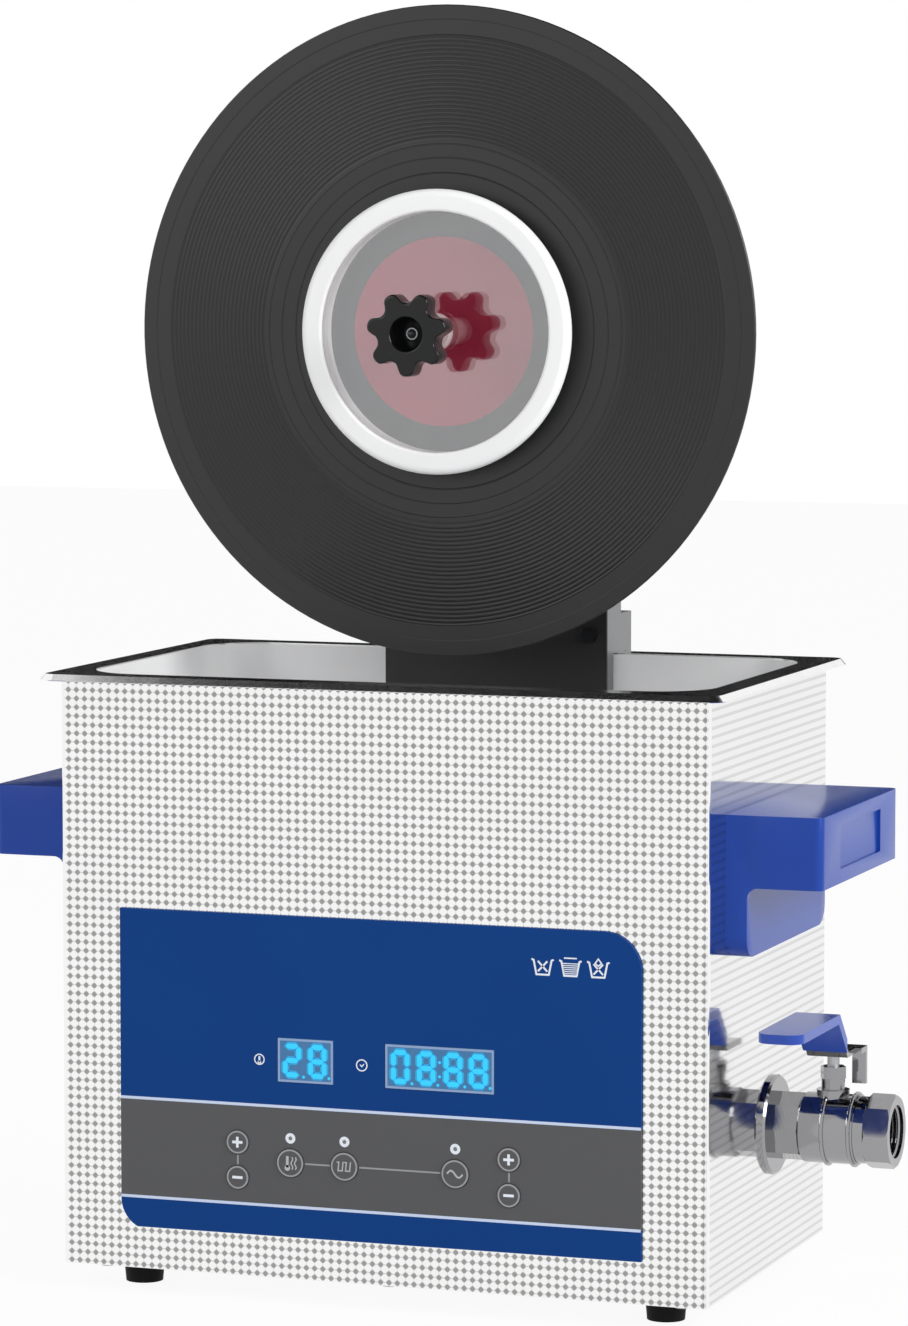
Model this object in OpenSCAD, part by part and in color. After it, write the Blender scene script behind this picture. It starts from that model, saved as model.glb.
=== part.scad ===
// Ultrasonic record cleaning machine: a heated stainless tub in a sheet casing, with a
// motor stand on its rear rim that turns a record and lowers it into the bath.
// Millimetres. +X is to the right, -Y is the front, +Z is up, and Z = 0 is the table.
// The origin is below the middle of the overall box.

/* [Casing] */
// Width of the sheet casing
case_w = 310; // [306:1:330]
// Depth of the sheet casing
case_d = 192; // [190:1:206]
// Height of the sheet casing
case_h = 272.0; // [268:0.5:284]
// Thickness of the casing sheet
case_t = 1.2; // [1:0.1:1.6]
// Bend radius of the upright corners
case_r = 3; // [2.5:0.5:5]
// Width of the flange folded in along the bottom
case_flange = 22; // [20:1:26]
// Thickness of the base plate
base_t = 1.2; // [1:0.1:2]
// Distance from the casing's outside to the base plate's edge
base_inset = 10; // [8:1:12]

/* [Tub] */
// Distance from the casing's outside to the tub's opening
open_inset = 6; // [5.5:0.5:7]
// Corner radius of the opening
open_r = 28; // [24:1:32]
// Depth of the tub below its rim
tub_depth = 150; // [140:1:154]
// Radius between the tub's walls and its floor
floor_r = 12; // [8:1:14]
// Thickness of the tub's sheet
tub_t = 1; // [0.8:0.1:1.2]
// How far the flat rim stands out past the casing
rim_over = 6.2; // [5:0.1:7]
// Corner radius of the flat rim
rim_r = 6; // [5:0.5:8]
// How far the sloping lip reaches past the flat rim
lip_out = 2.3; // [1.5:0.1:3]
// How far the sloping lip drops
lip_drop = 2.7; // [2:0.1:3.5]

/* [Feet and screws] */
// Height of a rubber foot
foot_h = 10.8; // [9:0.2:14]
// Radius of a foot where it meets the base plate
foot_r_top = 9.6; // [8.6:0.1:11]
// Radius of a foot on the table
foot_r_bottom = 8.6; // [7.6:0.1:9.6]
// Distance from the casing's side to a foot's centre
foot_inset_x = 28; // [26:1:34]
// Distance from the casing's front or back to a foot's centre
foot_inset_y = 30; // [26:1:34]
// Radius of the screws' shanks
screw_r = 2; // [1.8:0.1:2.2]
// Radius of the screws' heads
screw_head_r = 3.6; // [3.3:0.1:3.8]
// Height of the screws' heads
screw_head_h = 2; // [1.6:0.1:2.2]
// Clearance of a screw in its hole
screw_gap = 0.15; // [0.1:0.05:0.25]

/* [Control panel] */
// Width of the control panel
panel_w = 250; // [244:1:256]
// Height of the control panel
panel_h = 147; // [146:1:150]
// Height of the panel's lower edge above the table
panel_z = 31.5; // [30.5:0.5:33]
// Thickness of the panel
panel_t = 1.5; // [1.2:0.1:2]
// Radius of the panel's upper right corner
panel_r = 18; // [14:1:22]
// Width and height cut from the panel's lower left corner by its curve
panel_cut = [8, 13];
// Height of the displays' centre above the table
display_z = 112.6; // [112:0.1:114]
// Height of both displays
display_h = 20; // [18:0.5:20.5]
// Place of the temperature display from the panel's middle
temp_x = -34.3; // [-36:0.1:-33]
// Width of the temperature display
temp_w = 26.8; // [25:0.1:27.5]
// Place of the timer display from the panel's middle
timer_x = 30.1; // [29:0.1:32]
// Width of the timer display
timer_w = 51.8; // [50:0.1:53]
// Height of the middle row of buttons above the table
button_z = 65.6; // [65:0.1:67]
// Half the distance between a plus and its minus button
button_pair = 8.1; // [7.4:0.1:8.6]
// Radius of the round function buttons
button_r = 6.5; // [6.2:0.1:6.7]
// Radius of the plus and minus buttons
button_small_r = 5.4; // [5:0.1:5.6]
// How far the buttons travel
button_travel = 0.5; // [0.3:0.1:0.6]
// Height of the indicator lights above the middle row of buttons
light_rise = 11.3; // [11:0.1:12]
// Radius of an indicator light
light_r = 1.6; // [1.3:0.1:1.8]
// Distance from the casing sheet to the control board
board_gap = 9.2; // [8.6:0.1:10]
// Thickness of the circuit boards
pcb_t = 1.6; // [1.4:0.1:2]

/* [Handles] */
// Length of a handle, front to back
handle_l = 128; // [122:1:134]
// How far a handle stands out from the casing
handle_out = 44.5; // [42:0.5:48]
// Height of a handle's top above the table
handle_top = 229.3; // [226:0.1:234]
// Height of the grip
grip_h = 32.4; // [31:0.1:34]
// Height of the whole handle with its backplate
handle_h = 64.3; // [62:0.1:68]
// Depth of the backplate
backplate_d = 10; // [9:0.5:12]
// Thickness of the moulded walls
handle_wall = 3; // [2.6:0.1:3.5]
// Shift of the handles towards the front
handle_shift = 6; // [3:1:8]
// Length and height of the shallow recess in the grip's outer face
handle_recess = [68, 19.5];
// Depth of the shallow recess
recess_d = 1.4; // [1:0.1:1.8]

/* [Drain and valve] */
// Height of the drain's axis above the table
valve_z = 77.5; // [74:0.5:82]
// Place of the drain's axis behind the middle of the casing
valve_y = 8; // [4:1:14]
// Distance from the casing's side to the drain hole in the tub's floor
drain_inset = 42; // [40:1:48]
// Outer radius of the drain pipe
pipe_r = 10.5; // [10:0.1:10.8]
// Wall of the drain pipe
pipe_wall = 2; // [1.6:0.1:2.4]
// Radius of the chrome wall flange
wall_flange_r = 23; // [21:0.5:25]
// Thickness of the wall flange
wall_flange_t = 2.5; // [2:0.1:3]
// Distance between the flats of the valve's inlet octagon
inlet_flats = 29; // [27:0.5:30]
// Distance between the flats of the outlet octagon
outlet_flats = 32; // [31:0.5:34]
// Radius of the valve's body
valve_r = 16.5; // [15.8:0.1:17]
// Distance from the casing to the valve's stem
stem_out = 28.5; // [28:0.5:30]
// Distance from the casing to the valve's mouth
valve_reach = 58.5; // [57.5:0.5:62]
// Radius of the ball
ball_r = 11; // [10.6:0.1:11.2]
// Radius of the way through the ball
port_r = 7.5; // [7:0.1:7.8]
// Radius of the outlet's threaded socket
outlet_r = 12.2; // [12:0.1:12.4]
// Depth of the outlet's threaded socket
outlet_depth = 14; // [12:0.5:14.5]
// Length of the lever from the stem to its tip
lever_l = 92; // [84:1:100]
// Width of the lever's steel strip
lever_w = 19; // [17:0.5:21]
// Thickness of the lever's steel strip
lever_t = 2.5; // [2:0.1:2.8]
// Rise of the lever between its hub and its grip
lever_rise = 19; // [17:0.5:22]
// Thickness of the dipped coating on the lever
lever_coat = 0.9; // [0.6:0.1:1.2]

/* [Motor stand] */
// Shift of the stand to the right of the casing's middle
stand_shift = -7; // [-9:1:-3]
// How far the stand's sheet sits to the right of the spindle
mast_shift = 2.8; // [0:0.1:4]
// Width of the stand
stand_w = 112; // [110:1:118]
// Thickness of the stand's sheet
stand_t = 1.5; // [1.2:0.1:1.8]
// Height of the stand's top above the table
stand_top = 483.5; // [480:0.5:490]
// Height of the stand's lower edge inside the tub
stand_low = 245; // [240:1:252]
// Height of the rear saddle's top above the rim
saddle_rise = 18.5; // [16:0.5:20]
// Depth of the upright channel, front plate not included
mast_d = 20.5; // [20:0.5:22]
// Distance from the tub's opening to the channel's inner leg
leg_gap = 3; // [2.5:0.5:4]
// Depth of the channel's inner leg behind the front plate
leg_d = 9; // [8:0.5:10]
// Distance from the casing's back to the outside of the saddle
saddle_out = 18.5; // [18:0.5:22]
// Radius of the guide rods
rod_r = 4; // [3.5:0.1:4.5]
// Distance of each guide rod from the stand's middle
rod_x = 36; // [34:0.5:37]
// How far the lift travels down
lift_travel = 95; // [90:1:96]

/* [Lift and motor] */
// Height of the spindle above the table when it is raised
spindle_z = 439.5; // [436:0.5:444]
// Half the height of the sliding block
block_half = 30; // [28:0.5:32]
// Depth of the sliding block
block_d = 15.5; // [15:0.5:17]
// Width of the motor cover
cover_w = 72; // [66:1:80]
// Depth of the motor cover
cover_d = 51.5; // [50:0.5:60]
// Wall of the motor cover
cover_wall = 2; // [1.6:0.1:2.6]
// Radius of the gearbox
gearbox_r = 18.5; // [17:0.5:20]
// Length of the gearbox
gearbox_l = 22; // [18:0.5:24]
// Radius of the motor
motor_r = 16.5; // [15:0.5:17]
// Running clearance of shafts, rods and pins
run_gap = 0.04; // [0.02:0.01:0.06]
// Radius of the locking knob
lock_r = 13; // [11:0.5:15]

/* [Record and clamp] */
// Radius of a twelve inch record
record_r = 150.8; // [149:0.1:151]
// Thickness of the record
record_t = 2; // [1.6:0.1:2.2]
// Distance of the record behind the casing's middle
record_y = 12; // [8:0.5:14]
// Radius of the paper label
label_r = 44; // [40:0.5:48]
// Thickness of the paper label
label_t = 0.2; // [0.1:0.05:0.3]
// Radius of the hole in the record
record_hole_r = 3.63; // [3.6:0.01:3.7]
// Radius of the spindle where it holds the record
spindle_r = 3.55; // [3.4:0.01:3.58]
// Outer radius of the white seal
seal_r = 66; // [64:0.5:68]
// Inner radius of the white seal
seal_in_r = 55.7; // [54:0.1:57]
// Length of the seal's skirt from the record to the clear disc
skirt_l = 8; // [6:0.5:9]
// Thickness of the clear disc
disc_t = 4; // [3:0.5:5]
// Thickness of the seal's lip over the edge of the clear disc
seal_lip = 1.5; // [1:0.1:2]
// Distance from the clear disc to the back of the clamp knob
sleeve_l = 27; // [24:0.5:29]
// Thickness of the clamp knob
knob_t = 12; // [10:0.5:14]
// Radius of the clamp knob over its lobes
knob_r = 19.5; // [18:0.5:21]
// Number of lobes on the clamp knob
knob_lobes = 7; // [5:1:9]
// Radius of the round hollow in the knob's face
knob_hollow_r = 8.2; // [7:0.1:9]
// How far the spindle's end stands out of the knob's thread
tip_out = 0.4; // [0.2:0.1:2]

/* [Hidden] */
$fn = 64;
eps = 0.01;

// The frame: the casing's middle is set back and aside so that the origin is below the
// middle of the overall box, from the left handle to the valve's mouth and from the
// front of the rim to the back of the motor cover.
rim_reach = case_d / 2 + rim_over + lip_out;
plate_y = case_d / 2 - open_inset - leg_gap - leg_d - stand_t;
mast_y = plate_y + stand_t;
block_y = mast_y + stand_t + 2;
cover_y = block_y + block_d;
back_reach = cover_y + cover_d;
case_x = (handle_out - valve_reach) / 2;
case_y = (rim_reach - back_reach) / 2;

case_z = foot_h + base_t;
rim_z = case_z + case_h + tub_t;
floor_z = rim_z - tub_depth;
open_w = case_w - 2 * open_inset;
open_d = case_d - 2 * open_inset;
drain_x = case_w / 2 - drain_inset;

foot_x = case_w / 2 - foot_inset_x;
foot_y = case_d / 2 - foot_inset_y;
base_w = case_w - 2 * base_inset;
base_d = case_d - 2 * base_inset;
base_screw_in = (case_flange - base_inset) / 2;
foot_well = 6.5;
screw_bite = 0.02;

front_y = -case_d / 2;
board_y = front_y + case_t + board_gap;
button_proud = 0.6;
button_flange = 1.2;
button_gap = 0.25;
stem_r = 1.5;
switch_w = 6;
switch_h = 3.5;
window_margin = 3;
temp_pair_x = -67.3;
heat_x = -41.6;
degas_x = -15.4;
ultra_x = 37.7;
time_pair_x = 63.2;
light_xs = [heat_x, degas_x, ultra_x];
button_places = [[temp_pair_x, button_pair, button_small_r],
    [temp_pair_x, -button_pair, button_small_r], [heat_x, 0, button_r],
    [degas_x, 0, button_r], [ultra_x, 0, button_r],
    [time_pair_x, button_pair, button_small_r], [time_pair_x, -button_pair, button_small_r]];

grip_z = handle_top - grip_h;
handle_z = handle_top - handle_h;
handle_corner = 10;
grip_corner = 4;
grip_fillet = 5;
handle_screw_y = 40;
handle_screw_z = handle_z + 15;
boss_r = 5;

nut_t = 7;
gasket_t = 1.5;
valve_wall_z = valve_r - 4;
ring_r = valve_r + 0.8;
ring_w = 1.6;
cavity_r = ball_r + 1.1;
seat_reach = 8.5;
neck_r = 5.4;
neck_top = 23.2;
packing_t = 5.5;
hub_z = neck_top + packing_t + 5.8;
stem_r_valve = 2.8;
bend_y = [10, 28];
bend_slope = lever_rise / (bend_y[1] - bend_y[0]);
bend_fold = tan(atan(bend_slope) / 2);
lever_grip_w = lever_w + 2 * lever_coat;
inlet_l = 15.3;
barrel_end = stem_out + 13;
end_neck_r = 15.4;
octagon_l = 12;
octagon_start = valve_reach - octagon_l;

saddle_y = case_d / 2 + saddle_out;
saddle_z = rim_z + saddle_rise;
cheek_flange = 12;
bolt_x = stand_w / 2 - 8.4;
bolt_z = [rim_z + 9.5, stand_top - 8];
motor_screw_r = 1.5;
bolt_r = 2;
clamp_bolt_x = 30;
clamp_bolt_z = rim_z - 14;
slot_r = 8;
rod_y = block_y + block_d / 2;
shelf_z = saddle_z + 0.5;

bush_r = rod_r + 2;
bush_l = 13;
bush_flange = 1.5;
bearing_r = 8;
shaft_r = 5;
collar_r = 7.4;
tail_r = 4;
tail_l = 11;
lock_screw_r = 3;
lock_washer_t = 2;
lock_gap = 0.05;
lock_shank = 12;
socket_z = 12;

half_record = record_t / 2;
disc_near = half_record + skirt_l;
disc_far = disc_near + disc_t;
knob_back = disc_far + sleeve_l;
thread_l = 3;
spacer_end = block_y - record_y - 12;
groove_pitch = 2;
groove_h = 0.25;

module on_case() { translate([case_x, case_y, 0]) children(); }
module on_panel() { translate([case_x, case_y + front_y, 0]) rotate([90, 0, 0]) children(); }
module on_valve() {
    translate([case_x + case_w / 2, case_y + valve_y, valve_z]) children();
}
module on_motor() { translate([case_x + stand_shift, case_y, 0]) children(); }
module on_stand() { translate([mast_shift, 0, 0]) on_motor() children(); }
// Local Z runs forward along the spindle from the middle of the record
module on_spindle() {
    translate([case_x + stand_shift, case_y + record_y, spindle_z]) rotate([90, 0, 0])
        children();
}
// Local Z runs along +X
module along_x() { rotate([90, 0, 90]) children(); }
// Local Z runs along +Y
module along_y() { rotate([-90, 0, 0]) children(); }
module mirror_copy(axis) {
    children();
    mirror(axis) children();
}
module four_corners(x, y) {
    for (sx = [-1, 1], sy = [-1, 1]) translate([sx * x, sy * y, 0]) children();
}

module rounded_rect(w, d, r) {
    translate([-w / 2 + r, -d / 2]) square([w - 2 * r, d]);
    translate([-w / 2, -d / 2 + r]) square([w, d - 2 * r]);
    for (sx = [-1, 1], sy = [-1, 1])
        translate([sx * (w / 2 - r), sy * (d / 2 - r)]) circle(r);
}

module slot(l, w) {
    square([l - w, w], center = true);
    for (s = [-1, 1]) translate([s * (l - w) / 2, 0]) circle(w / 2);
}

module tube(r, bore, h) {
    difference() {
        cylinder(r = r, h = h);
        translate([0, 0, -eps]) cylinder(r = bore, h = h + 2 * eps);
    }
}

module hexagon(flats, h) { cylinder(r = flats / sqrt(3), h = h, $fn = 6); }
module octagon(flats, h) { cylinder(r = flats / 2 / cos(22.5), h = h, $fn = 8); }

// Carries a flat profile round a rounded rectangle. The profile's x = 0 runs along the
// rectangle's outline and its y is the height.
module frame_sweep(w, d, r) {
    for (sx = [-1, 1], sy = [-1, 1])
        translate([sx * (w / 2 - r), sy * (d / 2 - r), 0])
            rotate([0, 0, sx > 0 ? (sy > 0 ? 0 : -90) : (sy > 0 ? 90 : 180)])
                rotate_extrude(angle = 90) translate([r, 0]) children();
    for (s = [0, 180]) rotate([0, 0, s]) {
        translate([w / 2, d / 2 - r, 0]) rotate([90, 0, 0]) linear_extrude(d - 2 * r)
            children();
        translate([-w / 2 + r, d / 2, 0]) rotate([90, 0, 90]) linear_extrude(w - 2 * r)
            children();
    }
}

// Tub with its drawn floor, and the flat rim with a sloping lip
module tub_wall_profile() {
    translate([-floor_r, floor_z + floor_r]) difference() {
        union() {
            circle(floor_r + tub_t);
            square([floor_r + tub_t, tub_depth - floor_r]);
        }
        circle(floor_r);
        translate([-1, 0]) square([floor_r + 1, tub_depth]);
        translate([-2 * floor_r, -tub_depth]) square([2 * floor_r, 3 * tub_depth]);
    }
}

module lip_profile() {
    polygon([[0, rim_z], [lip_out, rim_z - lip_drop], [lip_out - 0.6, rim_z - lip_drop - 0.3],
        [-0.9, rim_z - tub_t], [-0.9, rim_z]]);
}

module tank_liner() {
    color("gainsboro") on_case() {
        frame_sweep(open_w, open_d, open_r) tub_wall_profile();
        difference() {
            translate([0, 0, floor_z - tub_t]) linear_extrude(tub_t)
                rounded_rect(open_w - 2 * floor_r, open_d - 2 * floor_r, open_r - floor_r);
            translate([drain_x, valve_y, floor_z - 2 * tub_t])
                cylinder(r = pipe_r - pipe_wall, h = 4 * tub_t);
        }
        translate([0, 0, rim_z - tub_t]) linear_extrude(tub_t) difference() {
            rounded_rect(case_w + 2 * rim_over, case_d + 2 * rim_over, rim_r);
            rounded_rect(open_w, open_d, open_r);
        }
        frame_sweep(case_w + 2 * rim_over, case_d + 2 * rim_over, rim_r) lip_profile();
    }
}

// Ventilation slots in a round field, one bar between each two
module slot_field(r, slot, bar) {
    n = floor(r / (slot + bar));
    for (i = [-n:n]) {
        x = i * (slot + bar);
        half = sqrt(r * r - x * x) - slot / 2;
        translate([x - slot / 2, -half]) square([slot, 2 * half]);
    }
}

fan_size = 60;
fan_t = 15;
fan_x = -92;
fan_z = 74;
fan_bore_r = 27.5;
inlet_x = 92;
inlet_z = 52;
inlet_w = 27.4;
inlet_h = 20;
inlet_flange_t = 2.5;
inlet_ear = 40;
switch_x = 46;
rocker_w = 13;
switch_w_out = 21;
switch_h_out = 30;
switch_cut = [19, 27];
rocker_r = 11;
rocker_tilt = 10;
rocker_gap = 0.3;
rocker_sink = 4.5;

module back_screw_places() {
    translate([fan_x, fan_z]) four_corners(fan_size / 2 - 5, fan_size / 2 - 5) children();
    for (s = [-1, 1]) translate([inlet_x + s * inlet_ear / 2, inlet_z]) children();
}

module back_cutouts() {
    translate([fan_x, fan_z]) slot_field(fan_bore_r, 3, 2.6);
    back_screw_places() circle(screw_r + screw_gap);
    translate([inlet_x, inlet_z]) square([inlet_w + 0.4, inlet_h + 0.4], center = true);
    translate([switch_x, inlet_z]) square([switch_cut.x + 0.4, switch_cut.y + 0.4],
        center = true);
}

module board_window() {
    low = button_z - button_pair - button_small_r - window_margin;
    high = display_z + display_h / 2 + window_margin;
    half = time_pair_x + button_small_r + window_margin;
    translate([-half - 4, low]) square([2 * half + 4, high - low]);
}

module outer_casing() {
    color("silver") on_case() difference() {
        union() {
            translate([0, 0, case_z]) linear_extrude(case_h) difference() {
                rounded_rect(case_w, case_d, case_r);
                rounded_rect(case_w - 2 * case_t, case_d - 2 * case_t, case_r - case_t);
            }
            translate([0, 0, case_z]) linear_extrude(case_t) difference() {
                rounded_rect(case_w - case_t, case_d - case_t, case_r - case_t / 2);
                square([case_w - 2 * case_flange, case_d - 2 * case_flange], center = true);
            }
        }
        translate([0, front_y - 1, 0]) along_y_up() linear_extrude(4) board_window();
        translate([0, case_d / 2 - 2.5, 0]) along_y_up() linear_extrude(4) back_cutouts();
        translate([case_w / 2 - 4, valve_y, valve_z]) along_x()
            cylinder(r = pipe_r + 0.1, h = 8);
        for (s = [-1, 1], y = [-1, 1])
            translate([s * case_w / 2, y * handle_screw_y - handle_shift, handle_screw_z])
                along_x() cylinder(r = screw_r + screw_gap, h = 8, center = true);
        translate([0, 0, case_z - 1]) base_screw_places()
            cylinder(r = screw_r + screw_bite, h = 4);
    }
}

// Turns a drawing of a wall, x across and y up, to stand across the Y axis
module along_y_up() { mirror([0, 1, 0]) rotate([90, 0, 0]) children(); }

module base_screw_places() {
    four_corners(base_w / 2 - base_screw_in, base_d / 2 - base_screw_in) children();
    for (s = [-1, 1]) translate([0, s * (base_d / 2 - base_screw_in), 0]) children();
}

module base_plate() {
    vent_n = 7;
    color("silver") on_case() difference() {
        translate([0, 0, foot_h]) linear_extrude(base_t)
            rounded_rect(base_w, base_d, 6);
        translate([0, 0, foot_h - 1]) {
            for (s = [-1, 1], i = [0:vent_n - 1])
                translate([s * 60, (i - (vent_n - 1) / 2) * 12, 0]) linear_extrude(4)
                    slot(60, 4);
            base_screw_places() cylinder(r = screw_r + screw_gap, h = 4);
            four_corners(foot_x, foot_y) cylinder(r = screw_r + screw_bite, h = 4);
        }
    }
}

module rubber_feet() {
    color("black") on_case() four_corners(foot_x, foot_y) difference() {
        cylinder(r1 = foot_r_bottom, r2 = foot_r_top, h = foot_h);
        translate([0, 0, -1]) cylinder(r = screw_head_r + 0.4, h = foot_well + 1);
        cylinder(r = screw_r + screw_gap, h = 2 * foot_h, center = true);
    }
}

// Pan head screw: the head's seat is at Z = 0, the head is below, the shank above
module screw(shank) {
    translate([0, 0, -screw_head_h]) cylinder(r = screw_head_r, h = screw_head_h);
    translate([0, 0, -eps]) cylinder(r = screw_r, h = shank);
}

module casing_screws() {
    color("silver") on_case() {
        translate([0, 0, foot_well]) four_corners(foot_x, foot_y) screw(10);
        translate([0, 0, foot_h]) base_screw_places() screw(6);
        for (s = [-1, 1], y = [-1, 1])
            translate([s * (case_w / 2 - case_t), y * handle_screw_y - handle_shift,
                handle_screw_z]) rotate([0, s * 90, 0]) screw(8);
        translate([0, case_d / 2, 0]) rotate([90, 0, 0]) {
            translate([fan_x, fan_z, 0]) four_corners(fan_size / 2 - 5, fan_size / 2 - 5)
                screw(14);
            for (s = [-1, 1]) translate([inlet_x + s * inlet_ear / 2, inlet_z,
                -inlet_flange_t]) {
                screw(8);
                translate([0, 0, inlet_flange_t + case_t]) difference() {
                    hexagon(6.5, 2.4);
                    translate([0, 0, -1]) cylinder(r = screw_r + screw_bite, h = 5);
                }
            }
        }
    }
}

// Panel: square corners but for one round and one curved away
module panel_outline() {
    w = panel_w;
    h = panel_h;
    cut_r = (pow(panel_cut.x, 2) + pow(panel_cut.y, 2)) / (2 * panel_cut.x);
    difference() {
        square([w, h]);
        translate([w - panel_r, h - panel_r]) difference() {
            square(panel_r + 1);
            circle(panel_r);
        }
        translate([cut_r, panel_cut.y]) difference() {
            translate([-cut_r - 1, -panel_cut.y - 1]) square([cut_r + 1, panel_cut.y + 1]);
            circle(cut_r);
        }
    }
}

module panel_holes(gap) {
    translate([panel_w / 2, -panel_z]) {
        translate([temp_x, display_z]) square([temp_w + 2 * gap, display_h + 2 * gap],
            center = true);
        translate([timer_x, display_z]) square([timer_w + 2 * gap, display_h + 2 * gap],
            center = true);
        for (b = button_places) translate([b[0], button_z + b[1]]) circle(b[2] + gap);
        for (x = light_xs) translate([x, button_z + light_rise]) circle(light_r + gap);
    }
}

module control_panel() {
    color("navy") on_panel() translate([-panel_w / 2, panel_z, 0]) linear_extrude(panel_t)
        difference() {
            panel_outline();
            panel_holes(button_gap);
        }
}

module display_windows() {
    depth = case_t + board_gap + panel_t - 0.2;
    color("deepskyblue") on_panel() translate([0, display_z, panel_t - 0.2 - depth])
        linear_extrude(depth) {
            translate([temp_x, 0]) square([temp_w, display_h], center = true);
            translate([timer_x, 0]) square([timer_w, display_h], center = true);
        }
}

module indicator_lights() {
    depth = case_t + board_gap;
    color("white") on_panel() for (x = light_xs)
        translate([x, button_z + light_rise, -depth]) {
            cylinder(r = light_r, h = depth + panel_t);
            cylinder(r = light_r + 0.6, h = 1.2);
        }
}

module control_board() {
    low = button_z - 22;
    high = display_z + 14;
    half = panel_w / 2 - 30;
    post_r = 3;
    color("darkgreen") on_panel() translate([0, 0, -case_t - board_gap]) {
        translate([-half, low, -pcb_t]) cube([2 * half, high - low, pcb_t]);
        for (b = button_places) translate([b[0], button_z + b[1], 0]) difference() {
            linear_extrude(switch_h) square(switch_w, center = true);
            translate([0, 0, 0.8]) cylinder(r = stem_r + 0.2, h = switch_h);
        }
        for (sx = [-1, 1], y = [low + 5, high - 5])
            translate([sx * (half - 5), y, -eps]) cylinder(r = post_r, h = board_gap + eps);
        translate([-20, low + 8, -pcb_t - 3]) cube([30, 12, 3 + eps]);
        translate([30, low + 6, -pcb_t - 8]) cube([24, 9, 8 + eps]);
    }
}

// One round button: cap, a flange that holds it behind the panel, and the stem that
// runs into its switch
module panel_button(i, c) {
    place = button_places[i];
    reach = case_t + board_gap - switch_h + 0.8;
    color(c) on_panel() translate([place[0], button_z + place[1], 0]) {
        rotate_extrude() polygon([[0, -button_flange], [place[2] + 0.7, -button_flange],
            [place[2] + 0.7, 0], [place[2], 0],
            [place[2], panel_t + button_proud - 0.3],
            [place[2] - 0.3, panel_t + button_proud], [0, panel_t + button_proud]]);
        translate([0, 0, -reach]) cylinder(r = stem_r, h = reach);
    }
}

module temp_up_button() { panel_button(0, "dimgray"); }
module temp_down_button() { panel_button(1, "dimgray"); }
module heating_button() { panel_button(2, "dimgray"); }
module degas_button() { panel_button(3, "dimgray"); }
module ultrasonic_button() { panel_button(4, "dimgray"); }
module time_up_button() { panel_button(5, "dimgray"); }
module time_down_button() { panel_button(6, "dimgray"); }

// Silicone heating pads on the long walls of the tub
module heater_pads() {
    pad_t = 2.2;
    color("darkorange") on_case() mirror_copy([0, 1, 0])
        translate([-105, open_d / 2 + tub_t, floor_z + floor_r + 8])
            cube([210, pad_t, 60]);
}

// Ultrasonic transducers bonded under the floor: bell, ceramic rings and back mass
module transducers() {
    color("lightgray") on_case() for (x = [-95, -25, 45])
        translate([x, 0, floor_z - tub_t]) mirror([0, 0, 1]) rotate_extrude()
            polygon([[0, 0], [22, 0], [22, 4], [18.5, 26], [18.5, 28], [17, 28], [17, 33],
                [17.5, 33], [17.5, 34], [17, 34], [17, 39], [18, 39], [18, 54], [5, 54],
                [5, 57], [0, 57]]);
}

module generator_board() {
    board = [150, 84];
    rise = 8;
    top = rise + pcb_t;
    fins = 7;
    color("darkgreen") on_case() translate([-8, 14, case_z]) {
        translate([-board.x / 2, -board.y / 2, rise]) cube([board.x, board.y, pcb_t]);
        four_corners(board.x / 2 - 6, board.y / 2 - 6) cylinder(r = 3, h = rise + eps);
        translate([-60, -34, top - eps]) cube([50, 30, 3]);
        for (i = [0:fins - 1]) translate([-60 + i * 8, -34, top]) cube([2, 30, 16]);
        for (x = [8, 24, 40]) translate([x, 26, top - eps]) cylinder(r = 6.5, h = 20);
        translate([10, -30, top - eps]) cube([36, 30, 22]);
    }
}

module fan_frame() {
    color("black") on_case() translate([fan_x, case_d / 2 - case_t - fan_t, fan_z])
        along_y_up() {
            difference() {
                linear_extrude(fan_t) difference() {
                    rounded_rect(fan_size, fan_size, 4);
                    circle(fan_bore_r);
                    four_corners(fan_size / 2 - 5, fan_size / 2 - 5)
                        circle(screw_r + screw_bite);
                }
                translate([0, 0, 3]) linear_extrude(fan_t - 6) difference() {
                    square(fan_size + 1, center = true);
                    circle(fan_size / 2 - 0.5);
                }
            }
            // motor plate on three struts, with the rotor's pin
            linear_extrude(1.6) for (a = [90, 210, 330]) rotate([0, 0, a])
                translate([0, -2]) square([fan_bore_r + 0.6, 4]);
            cylinder(r = 12, h = 2.4);
            cylinder(r = 1.5, h = fan_t - 3);
        }
}

module fan_rotor() {
    blades = 7;
    hub_r = 13;
    color("dimgray") on_case() translate([fan_x, case_d / 2 - case_t - fan_t, fan_z])
        along_y_up() translate([0, 0, 2.7]) difference() {
            union() {
                cylinder(r = hub_r, h = fan_t - 4);
                intersection() {
                    for (i = [0:blades - 1]) rotate([0, 0, i * 360 / blades])
                        translate([0, 0, (fan_t - 4) / 2]) rotate([38, 0, 0])
                            translate([0, -8, -0.6]) cube([fan_bore_r, 16, 1.2]);
                    cylinder(r = fan_bore_r - 1, h = fan_t - 4);
                }
            }
            translate([0, 0, -eps]) cylinder(r = 1.5 + run_gap, h = fan_t - 5.3);
        }
}

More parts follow.
